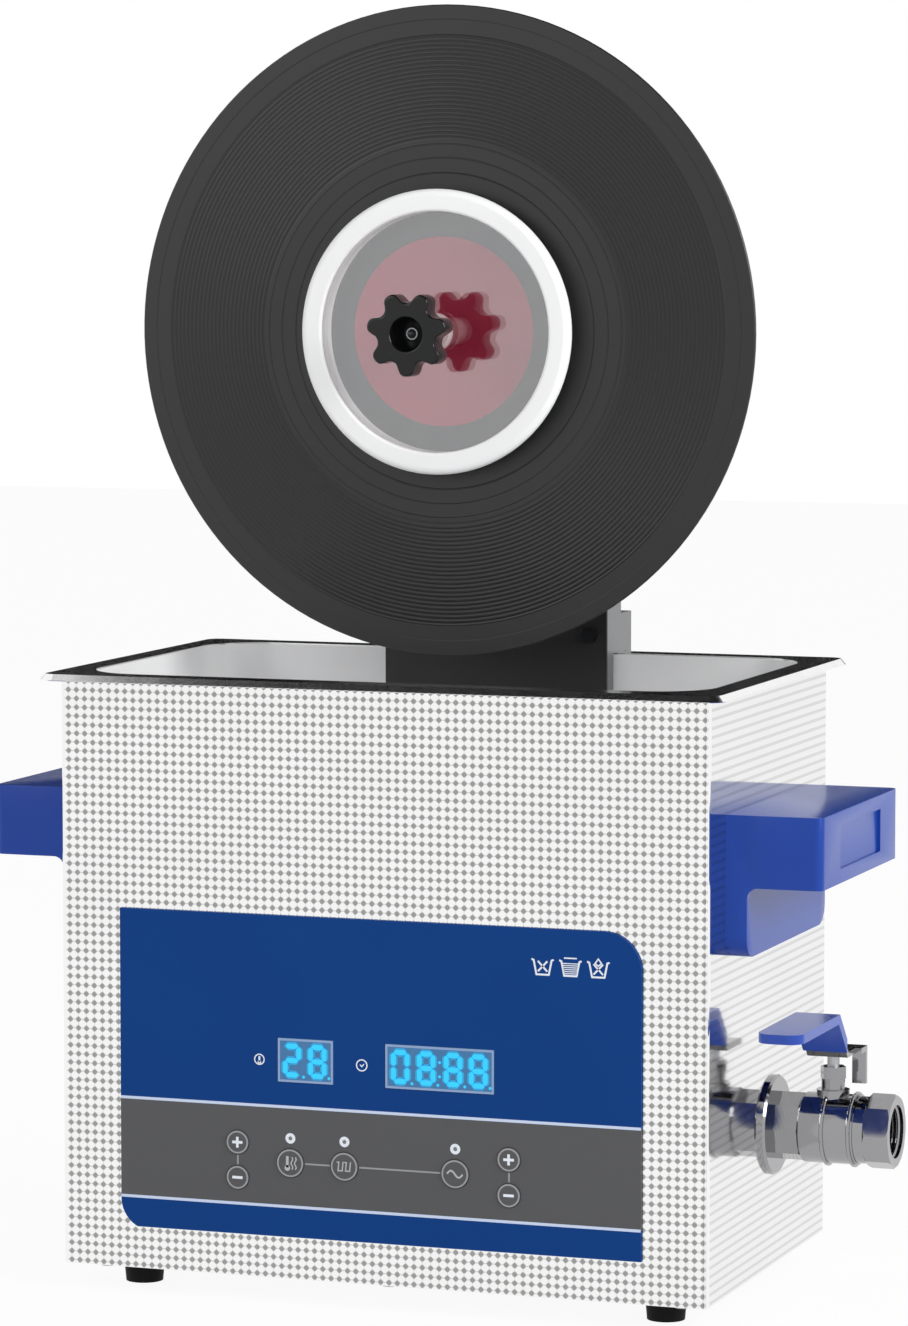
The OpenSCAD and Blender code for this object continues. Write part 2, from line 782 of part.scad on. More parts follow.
// Three pin mains inlet with its flange and two ears
module mains_inlet() {
    depth = 16;
    color("black") on_case() translate([inlet_x, case_d / 2, inlet_z]) along_y_up() {
        difference() {
            union() {
                linear_extrude(inlet_flange_t) difference() {
                    union() {
                        rounded_rect(31, 23, 2);
                        rounded_rect(inlet_ear + 10, 14, 6);
                    }
                    for (s = [-1, 1]) translate([s * inlet_ear / 2, 0])
                        circle(screw_r + screw_gap);
                }
                translate([0, 0, -depth]) linear_extrude(depth + eps)
                    rounded_rect(inlet_w, inlet_h, 2);
            }
            translate([0, 0, -depth + 2]) linear_extrude(depth + 4) difference() {
                rounded_rect(24.4, 16.6, 2);
                for (s = [-1, 1]) translate([s * 12.2, -8.3]) rotate([0, 0, 45])
                    square(6, center = true);
            }
        }
        for (p = [[-7, 0], [7, 0], [0, -4]]) translate([p.x - 1, p.y - 2, -depth])
            cube([2, 4, 12]);
    }
}

module switch_housing() {
    color("black") on_case() translate([switch_x, case_d / 2, inlet_z]) difference() {
        union() {
            along_y_up() linear_extrude(2) rounded_rect(switch_w_out, switch_h_out, 1.5);
            translate([0, eps, 0]) mirror([0, 1, 0]) along_y_up() linear_extrude(18)
                square(switch_cut, center = true);
        }
        translate([0, 2 - rocker_sink, 0]) along_x() cylinder(r = rocker_r + rocker_gap,
            h = rocker_w + 2 * rocker_gap, center = true);
        translate([0, 2 - rocker_sink, 0]) along_x()
            cylinder(r = 1.5 + run_gap, h = rocker_w + 3.4, center = true);
    }
}

// Rocker key: two faces that meet in a shallow V, on a pivot pin
module power_rocker() {
    face = rocker_sink + 0.6;
    color("darkred") on_case() translate([switch_x, case_d / 2 + 2 - rocker_sink, inlet_z])
        rotate([rocker_tilt, 0, 0]) {
            along_x() linear_extrude(rocker_w, center = true) intersection() {
                circle(rocker_r);
                polygon([[-rocker_r, -12], [face + 1, -12], [face - 1, 0], [face + 1, 12],
                    [-rocker_r, 12]]);
            }
            along_x() cylinder(r = 1.5, h = rocker_w + 3, center = true);
        }
}

// Handle: a hollow backplate and a hollow grip, open below for the fingers
module handle_solid() {
    along_x() linear_extrude(backplate_d) {
        translate([0, handle_h / 2]) rounded_rect(handle_l, handle_h, handle_corner);
        translate([-handle_l / 2, handle_corner]) square([handle_l,
            handle_h - handle_corner]);
    }
    translate([0, 0, handle_h - grip_h]) linear_extrude(grip_h) {
        translate([0, -handle_l / 2]) square([handle_out - grip_corner, handle_l]);
        translate([handle_out / 2, 0]) rounded_rect(handle_out, handle_l, grip_corner);
    }
    for (s = [-1, 1]) translate([backplate_d - eps, s * (handle_l - handle_wall) / 2,
        handle_h - grip_h - grip_fillet]) rotate([90, 0, 0])
            linear_extrude(handle_wall, center = true) difference() {
                square(grip_fillet + eps);
                translate([grip_fillet + eps, 0]) circle(grip_fillet);
            }
}

module handle_hollows() {
    w = handle_wall;
    translate([-eps, 0, w]) along_x() linear_extrude(backplate_d - w) difference() {
        translate([0, (handle_h - 2 * w) / 2])
            rounded_rect(handle_l - 2 * w, handle_h - 2 * w, handle_corner - w);
        for (s = [-1, 1]) translate([s * handle_screw_y, handle_screw_z - handle_z - w])
            circle(boss_r);
        for (s = [-1, 0, 1]) translate([s * 20 - 0.75, 0]) square([1.5, handle_h]);
    }
    translate([backplate_d, 0, handle_h - grip_h - 1]) linear_extrude(grip_h + 1 - w)
        translate([(handle_out - backplate_d - w) / 2, 0])
            rounded_rect(handle_out - backplate_d - w, handle_l - 2 * w, 2);
    translate([handle_out - recess_d, 0, handle_h - grip_h / 2]) along_x()
        linear_extrude(recess_d + 1) square(handle_recess, center = true);
    for (s = [-1, 1]) translate([-1, s * handle_screw_y, handle_screw_z - handle_z])
        along_x() cylinder(r = screw_r + screw_bite, h = 8.5);
}

module handle() {
    translate([case_w / 2, -handle_shift, handle_z]) difference() {
        handle_solid();
        handle_hollows();
    }
}

module handle_right() { color("royalblue") on_case() handle(); }
module handle_left() { color("royalblue") on_case() mirror([1, 0, 0]) handle(); }

// Drain: a pipe from the tub's floor, bent to pass through the casing into the valve
module drain_pipe() {
    bend_r = 24;
    top = floor_z - tub_t;
    out_x = case_w / 2 + wall_flange_t + 13 - 0.2;
    bore = pipe_r - pipe_wall;
    color("silver") on_case() translate([drain_x, valve_y, 0]) {
        translate([0, 0, valve_z + bend_r]) tube(pipe_r, bore, top - valve_z - bend_r);
        translate([0, 0, top - 3]) tube(pipe_r + 6, bore, 3);
        translate([bend_r, 0, valve_z + bend_r]) rotate([90, 0, 0])
            rotate([0, 0, 180]) rotate_extrude(angle = 90) translate([bend_r, 0])
                difference() {
                    circle(pipe_r);
                    circle(bore);
                }
        translate([bend_r, 0, valve_z]) along_x()
            tube(pipe_r, bore, out_x - drain_x - bend_r);
    }
}

module drain_nut() {
    color("silver") on_valve() translate([-case_t - gasket_t - nut_t, 0, 0]) along_x()
        difference() {
            hexagon(27, nut_t);
            translate([0, 0, -1]) cylinder(r = pipe_r + 0.05, h = nut_t + 2);
        }
}

module drain_gasket() {
    color("black") on_valve() translate([-case_t - gasket_t, 0, 0]) along_x()
        tube(16, pipe_r + 0.05, gasket_t);
}

module drain_flange() {
    color("gainsboro") on_valve() along_x() difference() {
        rotate_extrude() polygon([[pipe_r + 0.1, 0], [wall_flange_r, 0],
            [wall_flange_r, wall_flange_t - 1], [wall_flange_r - 1, wall_flange_t],
            [pipe_r + 0.1, wall_flange_t]]);
    }
}

// Valve body: inlet octagon, turned barrel with two raised rings, and the stem's neck
module valve_body() {
    ring_at = [stem_out - 1.3, stem_out + 11.2];
    color("silver") on_valve() difference() {
        union() {
            translate([wall_flange_t, 0, 0]) along_x()
                octagon(inlet_flats, inlet_l - wall_flange_t);
            translate([inlet_l - eps, 0, 0]) along_x() rotate_extrude()
                polygon([[0, 0], [valve_r - 1.4, 0], [valve_r - 0.4, 1],
                    [valve_r - 0.4, barrel_end - inlet_l], [0, barrel_end - inlet_l]]);
            for (x = ring_at) translate([x - ring_w / 2, 0, 0]) along_x() rotate_extrude()
                polygon([[0, 0], [ring_r - 0.5, 0], [ring_r, 0.4], [ring_r, ring_w - 0.4],
                    [ring_r - 0.5, ring_w], [0, ring_w]]);
            translate([stem_out, 0, valve_wall_z]) cylinder(r = neck_r,
                h = neck_top - valve_wall_z);
            translate([stem_out, 0, valve_wall_z]) cylinder(r = neck_r + 2.2,
                h = valve_r + 1.6 - valve_wall_z);
        }
        translate([-1, 0, 0]) along_x() cylinder(r = pipe_r + 0.05, h = inlet_l + 1.2);
        along_x() cylinder(r = port_r + 0.5, h = stem_out);
        translate([stem_out - seat_reach, 0, 0]) along_x()
            cylinder(r = cavity_r, h = barrel_end - stem_out + seat_reach + 1);
        translate([stem_out, 0, 0]) cylinder(r = stem_r_valve + run_gap, h = 60);
    }
}

// Outlet end: its shank is screwed into the barrel and its shoulder seats on the
// barrel's end, with the outlet octagon and the threaded socket in front of it
module valve_end() {
    shank = stem_out + seat_reach;
    corner = outlet_flats / 2 / cos(22.5);
    color("silver") on_valve() difference() {
        union() {
            translate([shank, 0, 0]) along_x() cylinder(r = cavity_r - 0.05,
                h = barrel_end - shank + eps);
            translate([barrel_end, 0, 0]) along_x() cylinder(r = end_neck_r,
                h = octagon_start - barrel_end + eps);
            translate([octagon_start, 0, 0]) along_x() intersection() {
                octagon(outlet_flats, octagon_l);
                rotate_extrude() polygon([[0, 0], [corner - 1.1, 0], [corner + 0.2, 1.2],
                    [corner + 0.2, octagon_l - 1.2], [corner - 1.1, octagon_l],
                    [0, octagon_l]]);
            }
        }
        along_x() cylinder(r = port_r + 0.5, h = valve_reach + 1);
        translate([valve_reach - outlet_depth, 0, 0]) along_x()
            cylinder(r = outlet_r, h = outlet_depth + 1);
    }
}

module valve_seats() {
    inner = port_r + 0.5;
    color("white") on_valve() translate([stem_out, 0, 0]) mirror_copy([1, 0, 0])
        along_x() rotate_extrude() difference() {
            translate([inner, ball_r - 6]) square([cavity_r - 0.05 - inner,
                seat_reach - ball_r + 6]);
            circle(ball_r + 0.03);
        }
}

module valve_ball() {
    color("gainsboro") on_valve() translate([stem_out, 0, 0]) difference() {
        sphere(ball_r);
        along_y() cylinder(r = port_r, h = 3 * ball_r, center = true);
        translate([-1.6, -5, ball_r - 2.2]) cube([3.2, 10, 5]);
    }
}

module valve_stem() {
    color("gainsboro") on_valve() translate([stem_out, 0, 0]) {
        translate([0, 0, ball_r + 0.05]) cylinder(r = stem_r_valve,
            h = hub_z + lever_t + 5.5 - ball_r);
        translate([-1.5, -2.6, ball_r - 2.1]) cube([3, 5.2, 2.2]);
    }
}

module packing_nut() {
    color("silver") on_valve() translate([stem_out, 0, neck_top]) difference() {
        hexagon(10.4, packing_t);
        translate([0, 0, -1]) cylinder(r = stem_r_valve + run_gap, h = packing_t + 2);
    }
}

// Lever: a steel strip from the hub, up a slope and out level. Both surfaces are bent at
// the same two folds, so the strip keeps its thickness along the slope.
module lever_path(t, from) {
    y = bend_y;
    z = lever_rise;
    fold = t * bend_fold;
    polygon([[from, 0], [-y[0], 0], [-y[1], z], [-lever_l + 8, z], [-lever_l + 8, z + t],
        [-y[1] + fold, z + t], [-y[0] + fold, t], [from, t]]);
}

module valve_lever() {
    tab = [6.5, 17.5];
    tab_x = lever_w / 2 - 3.5;
    back = 13;
    color("silver") on_valve() translate([stem_out, 0, hub_z]) difference() {
        union() {
            along_x() linear_extrude(lever_w, center = true) lever_path(lever_t, back);
            // ear beside the hub and the stop that is bent down from it
            translate([tab_x, 3, 0]) cube([tab.x, back - 3, lever_t]);
            translate([tab_x, back - lever_t, lever_t - tab.y])
                cube([tab.x, lever_t, tab.y]);
        }
        translate([0, 0, -1]) cylinder(r = stem_r_valve + 0.02, h = lever_t + 2);
    }
}

// Dipped grip: a sleeve of even thickness over the lever's slope and level part
module lever_grip() {
    c = lever_coat;
    w = lever_grip_w;
    r = 7;
    start = bend_y[0] + 4;
    slant = norm([1, bend_slope]);
    shift = c * (slant - 1) / bend_slope;
    low = (start - bend_y[0]) * bend_slope - c * slant;
    high = lever_t + (start - bend_y[0] + lever_t * bend_fold) * bend_slope + c * slant;
    over = bend_y[1] - lever_t * bend_fold - shift;
    color("royalblue") on_valve() translate([stem_out, 0, hub_z]) difference() {
        intersection() {
            along_x() linear_extrude(w, center = true) polygon([[-start, low],
                [-bend_y[1] - shift, lever_rise - c], [-lever_l, lever_rise - c],
                [-lever_l, lever_rise + lever_t + c], [-over, lever_rise + lever_t + c],
                [-start, high]]);
            linear_extrude(lever_rise + 10) {
                translate([-w / 2, -lever_l + r]) square([w, lever_l - r]);
                translate([-w / 2 + r, -lever_l]) square([w - 2 * r, r + 1]);
                for (s = [-1, 1]) translate([s * (w / 2 - r), -lever_l + r]) circle(r);
            }
        }
        translate([0, 0, -0.02]) along_x() linear_extrude(lever_w + 0.04, center = true)
            lever_path(lever_t + 0.04, 0);
    }
}

module lever_nut() {
    color("gainsboro") on_valve() translate([stem_out, 0, hub_z + lever_t]) difference() {
        hexagon(10, 4);
        translate([0, 0, -1]) cylinder(r = stem_r_valve + 0.02, h = 6);
    }
}

// Black front plate of the stand with the slot that the spindle travels in
module front_plate() {
    color([0.13, 0.13, 0.13]) on_stand() translate([0, plate_y, 0]) along_y_up()
        linear_extrude(stand_t) difference() {
            translate([-stand_w / 2, stand_low]) square([stand_w, stand_top - stand_low]);
            translate([-mast_shift, 0]) spindle_slot(slot_r);
            for (s = [-1, 1], z = bolt_z) translate([s * bolt_x, z])
                circle(bolt_r + screw_gap);
        }
}

module spindle_slot(r) {
    translate([-r, spindle_z - lift_travel]) square([2 * r, lift_travel]);
    translate([0, spindle_z]) circle(r);
    translate([0, spindle_z - lift_travel]) circle(r);
}

// Side cheek seen along X: it hangs in the tub in front, sits on the rim and reaches
// down behind the casing
module cheek_outline() {
    leg_back = mast_y + leg_d;
    saddle_front = case_d / 2 + rim_over + lip_out + 1.5;
    polygon([[mast_y, stand_low], [leg_back, stand_low], [leg_back, rim_z],
        [saddle_front, rim_z], [saddle_front, rim_z - 34], [saddle_y, rim_z - 34],
        [saddle_y, saddle_z], [mast_y + mast_d, saddle_z], [mast_y + mast_d, stand_top],
        [mast_y, stand_top]]);
}

module rim_bracket() {
    inner = stand_w / 2 - stand_t;
    leg_back = mast_y + leg_d;
    color("silver") on_stand() difference() {
        union() {
            for (s = [-1, 1]) translate([s * (stand_w - stand_t) / 2, 0, 0]) along_x()
                linear_extrude(stand_t, center = true) cheek_outline();
            // flanges that the front plate is bolted to
            for (s = [-1, 1]) translate([s * (inner - cheek_flange / 2 + eps), mast_y, 0])
                translate([-cheek_flange / 2, 0, stand_low])
                    cube([cheek_flange, stand_t, stand_top - stand_low]);
            // back of the saddle, its cover and the shelf that holds the rods
            translate([-inner - eps, saddle_y - stand_t, rim_z - 34])
                cube([2 * inner + 2 * eps, stand_t, saddle_z - rim_z + 34]);
            translate([-inner - eps, mast_y, saddle_z - stand_t])
                cube([2 * inner + 2 * eps, saddle_y - mast_y, stand_t]);
            translate([-inner - eps, mast_y, stand_top - stand_t])
                cube([2 * inner + 2 * eps, mast_d, stand_t]);
        }
        for (s = [-1, 1], z = bolt_z) translate([s * bolt_x, mast_y - 1, z]) along_y()
            cylinder(r = bolt_r + screw_gap, h = 4);
        for (s = [-1, 1]) {
            translate([s * clamp_bolt_x, saddle_y - 4, clamp_bolt_z]) along_y()
                cylinder(r = 2.5 + screw_bite, h = 6);
            translate([s * rod_x, rod_y, saddle_z - 4]) cylinder(r = rod_r, h = 5);
            translate([s * rod_x, rod_y, stand_top - 4]) cylinder(r = rod_r, h = 5);
        }
        // slot that the locking screw travels in
        translate([stand_w / 2 - 3, rod_y, spindle_z]) along_x() {
            cylinder(r = lock_screw_r + 0.3, h = 5);
            translate([0, -lift_travel, 0]) cylinder(r = lock_screw_r + 0.3, h = 5);
            translate([-lock_screw_r - 0.3, -lift_travel, 0])
                cube([2 * lock_screw_r + 0.6, lift_travel, 5]);
        }
    }
}

module guide_rods() {
    color("gainsboro") on_stand() for (s = [-1, 1])
        translate([s * rod_x, rod_y, saddle_z - stand_t])
            cylinder(r = rod_r, h = stand_top - saddle_z + stand_t);
}

// Four hexagon bolts through the front plate and two clamp bolts behind the casing
module bracket_bolts() {
    head_h = 2.8;
    color("dimgray") on_stand() {
        for (s = [-1, 1], z = bolt_z) translate([s * bolt_x, plate_y, z]) along_y() {
            translate([0, 0, -head_h]) hexagon(7, head_h);
            translate([0, 0, -eps]) cylinder(r = bolt_r, h = 2 * stand_t + 2.4);
            translate([0, 0, 2 * stand_t]) hexagon(7, 2.2);
        }
        for (s = [-1, 1]) translate([s * clamp_bolt_x, saddle_y, clamp_bolt_z])
            along_y() {
                translate([0, 0, -saddle_out]) cylinder(r = 2.5, h = saddle_out + 4);
                translate([0, 0, 0]) hexagon(8, 4);
            }
    }
}

// Four screws that hold the motor cover to the sliding block from its front
module motor_screws() {
    color("silver") on_motor() for (s = [-1, 1], z = [-24, 24])
        translate([s * 20, block_y, spindle_z + z]) along_y() {
            translate([0, 0, -1.6]) cylinder(r = 2.8, h = 1.6);
            translate([0, 0, -eps]) cylinder(r = motor_screw_r, h = block_d + 11);
        }
}

// Sliding block between the cheeks
module lift_block() {
    half = stand_w / 2 - stand_t - 0.3;
    color([0.2, 0.2, 0.22]) on_stand() difference() {
        translate([-half, block_y, spindle_z - block_half])
            cube([2 * half, block_d, 2 * block_half]);
        translate([-mast_shift, block_y - 1, spindle_z]) along_y()
            cylinder(r = bearing_r, h = block_d + 2);
        for (s = [-1, 1]) translate([s * rod_x, rod_y, spindle_z]) {
            cylinder(r = rod_r + 0.5, h = 3 * block_half, center = true);
            mirror_copy([0, 0, 1]) translate([0, 0, block_half - bush_l])
                cylinder(r = bush_r, h = bush_l + 1);
        }
        translate([half - lock_shank, rod_y, spindle_z]) along_x()
            cylinder(r = lock_screw_r + run_gap, h = lock_shank + 1);
        for (s = [-1, 1]) translate([s * 20 - mast_shift, block_y - 1, spindle_z])
            mirror_copy([0, 0, 1]) translate([0, 0, 24]) along_y()
                cylinder(r = motor_screw_r + screw_gap, h = block_d + 2);
    }
}

// Flanged bronze bushes: four on the rods and two on the spindle
module flanged_bush(r, bore, l) {
    difference() {
        union() {
            translate([0, 0, -eps]) cylinder(r = r - 0.01, h = l);
            translate([0, 0, -bush_flange]) cylinder(r = r + 2, h = bush_flange);
        }
        translate([0, 0, -bush_flange - 1]) cylinder(r = bore, h = l + bush_flange + 2);
    }
}

module carriage_bushes() {
    color("peru") on_stand() {
        for (s = [-1, 1]) translate([s * rod_x, rod_y, spindle_z]) mirror_copy([0, 0, 1])
            translate([0, 0, block_half]) mirror([0, 0, 1])
                flanged_bush(bush_r, rod_r + run_gap, bush_l);
        translate([-mast_shift, block_y, spindle_z]) along_y()
            flanged_bush(bearing_r, shaft_r + run_gap, block_d - 0.5);
    }
}

module gear_motor() {
    can_l = cover_d - gearbox_l - cover_wall - 3;
    color("silver") on_motor() translate([0, cover_y, spindle_z]) along_y() difference() {
        union() {
            cylinder(r = gearbox_r, h = gearbox_l);
            translate([0, 0, gearbox_l - eps]) cylinder(r = motor_r, h = can_l);
            translate([0, 0, gearbox_l + can_l - 2 * eps]) cylinder(r = 6, h = 2.5);
        }
        translate([0, 0, -1]) cylinder(r = tail_r + run_gap, h = tail_l + 2);
    }
}

// Moulded motor cover with rounded edges and cooling slots above and below
module motor_cover() {
    half = block_half;
    w = cover_wall;
    slots = 5;
    color([0.16, 0.16, 0.17]) on_motor() translate([0, cover_y, spindle_z]) difference() {
        along_y_up() linear_extrude(cover_d) rounded_rect(cover_w, 2 * half, 7);
        translate([0, -1, 0]) along_y_up() linear_extrude(cover_d - w + 1) difference() {
            rounded_rect(cover_w - 2 * w, 2 * half - 2 * w, 7 - w);
            for (s = [-1, 1], z = [-24, 24]) translate([s * 20, z]) {
                circle(3.5);
                translate([-3.5, z > 0 ? 0 : -6]) square([7, 6]);
            }
        }
        for (s = [-1, 1], z = [-24, 24]) translate([s * 20, -1, z]) along_y()
            cylinder(r = motor_screw_r + screw_bite, h = 13);
        for (i = [0:slots - 1]) translate([0, 12 + i * 6, 0]) linear_extrude(3 * half,
            center = true) slot(34, 2.4);
        translate([cover_w / 2 - w - 1, 12, -half + socket_z]) along_x()
            cylinder(r = 4.1, h = w + 2);
    }
}

module motor_socket() {
    color("black") on_motor() translate([cover_w / 2, cover_y + 12,
        spindle_z - block_half + socket_z]) along_x() {
            difference() {
                union() {
                    cylinder(r = 5.6, h = 1.8);
                    translate([0, 0, -11]) cylinder(r = 4, h = 11 + eps);
                }
                translate([0, 0, -9]) cylinder(r = 2.8, h = 12);
            }
            translate([0, 0, -10]) cylinder(r = 1, h = 9);
        }
}

module on_lock() {
    on_stand() translate([stand_w / 2, rod_y, spindle_z]) along_x() children();
}

module lock_washer() {
    color("goldenrod") on_lock() translate([0, 0, lock_gap])
        tube(8, lock_screw_r + run_gap, lock_washer_t);
}

// Locking knob: three round lobes on a moulded hub, with its screw
module lock_knob() {
    base = lock_gap + lock_washer_t + lock_gap;
    shank = lock_shank + 0.3 + stand_t;
    color("black") on_lock() {
        translate([0, 0, base]) {
            cylinder(r = 6.5, h = 5);
            translate([0, 0, 4]) linear_extrude(9) lobed_outline(lock_r, 3, 4.5, 9);
        }
        translate([0, 0, 1 - shank]) cylinder(r = lock_screw_r, h = shank + base);
    }
}

// Outline of a knob: round lobes joined by round hollows. A hollow's centre lies where
// the hollow just touches the lobes beside it.
module lobed_outline(outer, lobes, lobe_r, hollow_r) {
    lobe_at = outer - lobe_r;
    half = 180 / lobes;
    b = lobe_at * cos(half);
    reach = lobe_r + hollow_r;
    hollow_at = b + sqrt(max(0, b * b - lobe_at * lobe_at + reach * reach));
    part = lobe_r / reach;
    joint = norm([lobe_at + (hollow_at * cos(half) - lobe_at) * part,
        hollow_at * sin(half) * part]);
    difference() {
        union() {
            circle(joint);
            for (i = [0:lobes - 1]) rotate([0, 0, -90 + i * 2 * half])
                translate([lobe_at, 0]) circle(lobe_r);
        }
        for (i = [0:lobes - 1]) rotate([0, 0, -90 + half + i * 2 * half])
            translate([hollow_at, 0]) circle(hollow_r);
    }
}

// Spindle: threaded front end, seat for the record, collar, bearing seat and motor tail
module spindle_shaft() {
    tip = knob_back + thread_l + tip_out;
    shoulder = -disc_far;
    collar_z = -(spacer_end);
    seat = record_y - block_y + bush_flange;
    color("gainsboro") on_spindle() rotate_extrude() polygon([
        [0, tip - 4], [2, tip - 0.6], [2.2, tip], [spindle_r - 0.8, tip],
        [spindle_r, tip - 0.8], [spindle_r, shoulder],
        [shaft_r, shoulder], [shaft_r, collar_z], [collar_r, collar_z],
        [collar_r, seat + 0.1], [shaft_r, seat + 0.1], [shaft_r, record_y - cover_y + 0.5],
        [tail_r, record_y - cover_y + 0.5], [tail_r, record_y - cover_y - tail_l],
        [0, record_y - cover_y - tail_l]]);
}

module rear_spacer() {
    color("white") on_spindle() translate([0, 0, -spacer_end])
        tube(9, shaft_r + 0.05, spacer_end - disc_far);
}

// Clear disc that keeps the label dry
module label_disc() {
    translate([0, 0, disc_near]) difference() {
        cylinder(r = seal_r - 4, h = disc_t);
        translate([0, 0, -1]) cylinder(r = record_hole_r, h = disc_t + 2);
    }
}

// Silicone seal: a rounded bar with a groove that grips the disc's edge, and a skirt
// down to the record
module label_seal() {
    edge = seal_r - 4;
    low = disc_near - seal_lip;
    front = disc_far + seal_lip;
    out_r = 3.2;
    in_r = 1.4;
    w = seal_r - seal_in_r;
    rotate_extrude() difference() {
        union() {
            translate([seal_in_r, half_record]) square([3.2, front - in_r - half_record]);
            translate([seal_in_r + in_r, front - in_r]) circle(in_r);
            translate([seal_in_r + in_r, low]) square([w - in_r - out_r, front - low]);
            translate([seal_in_r, low + out_r]) square([w, front - low - 2 * out_r]);
            for (z = [low + out_r, front - out_r]) translate([seal_r - out_r, z])
                circle(out_r);
        }
        translate([seal_in_r - 1, disc_near]) square([edge - seal_in_r + 1, disc_t]);
    }
}

module front_protector() { color([0.8, 0.85, 0.9, 0.4]) on_spindle() label_disc(); }
module rear_protector() {
    color([0.8, 0.85, 0.9, 0.4]) on_spindle() mirror([0, 0, 1]) label_disc();
}
module label_seals() { color("white") on_spindle() mirror_copy([0, 0, 1]) label_seal(); }

// One face of the record from the edge inwards: raised edge, grooves, run-out rings and
// the label's land. Grooves are drawn coarser than life.
function groove_points(outer, inner) = let (n = floor((outer - inner) / groove_pitch))
    [for (i = [0:n - 1]) let (r = outer - i * groove_pitch) each [
        [r, half_record - groove_h], [r - groove_pitch * 0.3, half_record],
        [r - groove_pitch * 0.6, half_record], [r - groove_pitch * 0.9,
            half_record - groove_h]]];
function record_face() = concat(
    [[record_r, half_record - 0.5], [record_r - 0.4, half_record],
        [record_r - 6.5, half_record], [record_r - 7, half_record - groove_h],
        [record_r - 13.6, half_record - groove_h], [record_r - 14.1, half_record]],
    groove_points(record_r - 14.8, record_r - 62.8),
    [for (r = [record_r - 63.5, record_r - 70, record_r - 77]) each [
        [r, half_record - 0.05], [r - 0.5, half_record - groove_h],
        [r - 1, half_record - 0.05]]]);

module record() {
    face = record_face();
    back = [for (i = [len(face) - 1:-1:0]) [face[i].x, -face[i].y]];
    land = half_record - 0.05;
    color([0.17, 0.17, 0.17]) on_spindle() rotate_extrude($fn = 128)
        polygon(concat([[record_hole_r, -land]], [[record_hole_r, land]],
            [for (i = [len(face) - 1:-1:0]) face[i]], [for (p = face) [p.x, -p.y]]));
}

module record_label() {
    color("crimson") on_spindle() mirror_copy([0, 0, 1])
        translate([0, 0, half_record - 0.05]) tube(label_r, record_hole_r, label_t);
}

module thrust_sleeve() {
    color([0.9, 0.9, 0.88]) on_spindle() translate([0, 0, disc_far]) rotate_extrude()
        polygon([[spindle_r + run_gap, 0], [9, 0], [9, 3], [8.2, 3.8], [6.2, 4.2],
            [6.2, sleeve_l], [spindle_r + run_gap, sleeve_l]]);
}

module clamp_knob() {
    edge = 1.2;
    color([0.15, 0.16, 0.16]) on_spindle() translate([0, 0, knob_back]) difference() {
        union() {
            translate([0, 0, edge]) linear_extrude(knob_t - 2 * edge)
                lobed_outline(knob_r, knob_lobes, 3.7, 6);
            for (z = [0, knob_t - edge]) translate([0, 0, z]) linear_extrude(edge)
                lobed_outline(knob_r - 0.6, knob_lobes, 3.1, 6.6);
        }
        translate([0, 0, -1]) cylinder(r = spindle_r + run_gap, h = knob_t + 2);
        translate([0, 0, thread_l]) cylinder(r = knob_hollow_r, h = knob_t);
    }
}

tank_liner();
outer_casing();
base_plate();
rubber_feet();
casing_screws();
control_panel();
display_windows();
indicator_lights();
control_board();
heater_pads();
transducers();
generator_board();
fan_frame();
fan_rotor();
mains_inlet();
switch_housing();
power_rocker();
handle_left();
handle_right();
drain_pipe();
drain_gasket();
drain_flange();
drain_nut();
valve_body();
valve_seats();
valve_end();
valve_ball();
valve_stem();
packing_nut();
valve_lever();
lever_grip();
lever_nut();
front_plate();
rim_bracket();
guide_rods();
bracket_bolts();
lift_block();
carriage_bushes();
motor_screws();
gear_motor();
motor_cover();
motor_socket();
lock_washer();
lock_knob();
spindle_shaft();
rear_spacer();
rear_protector();
record();
record_label();
front_protector();
label_seals();
thrust_sleeve();
clamp_knob();
temp_up_button();
temp_down_button();
heating_button();
degas_button();
ultrasonic_button();
time_up_button();
time_down_button();
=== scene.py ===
# %% [markdown]
# # A record cleaning machine, dressed around its CAD frame
# The solids come from CAD at their real size. Blender gives them their finishes, the printed
# panel and the lit display. One unit is a metre, and MM turns millimetres into it.

# %% Load the frame
import math

import bpy
import bmesh
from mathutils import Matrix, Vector


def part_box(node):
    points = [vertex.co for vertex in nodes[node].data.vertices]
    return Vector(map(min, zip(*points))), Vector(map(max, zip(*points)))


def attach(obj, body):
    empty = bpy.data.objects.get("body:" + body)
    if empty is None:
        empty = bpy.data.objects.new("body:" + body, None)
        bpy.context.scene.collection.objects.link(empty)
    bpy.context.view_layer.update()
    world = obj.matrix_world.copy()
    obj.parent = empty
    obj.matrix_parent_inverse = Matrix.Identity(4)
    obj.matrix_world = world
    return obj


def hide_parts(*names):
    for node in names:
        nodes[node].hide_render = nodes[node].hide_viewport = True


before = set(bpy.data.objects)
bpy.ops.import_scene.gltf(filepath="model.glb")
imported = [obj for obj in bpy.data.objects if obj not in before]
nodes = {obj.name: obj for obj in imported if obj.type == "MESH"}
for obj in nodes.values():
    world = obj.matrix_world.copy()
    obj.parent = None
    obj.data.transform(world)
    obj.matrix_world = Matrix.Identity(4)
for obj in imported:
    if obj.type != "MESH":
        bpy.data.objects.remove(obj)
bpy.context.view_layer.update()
MM = 0.001


def box_mm(name):
    """A solid's lowest and highest corner in millimetres."""
    return [[v / MM for v in corner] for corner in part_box(name)]


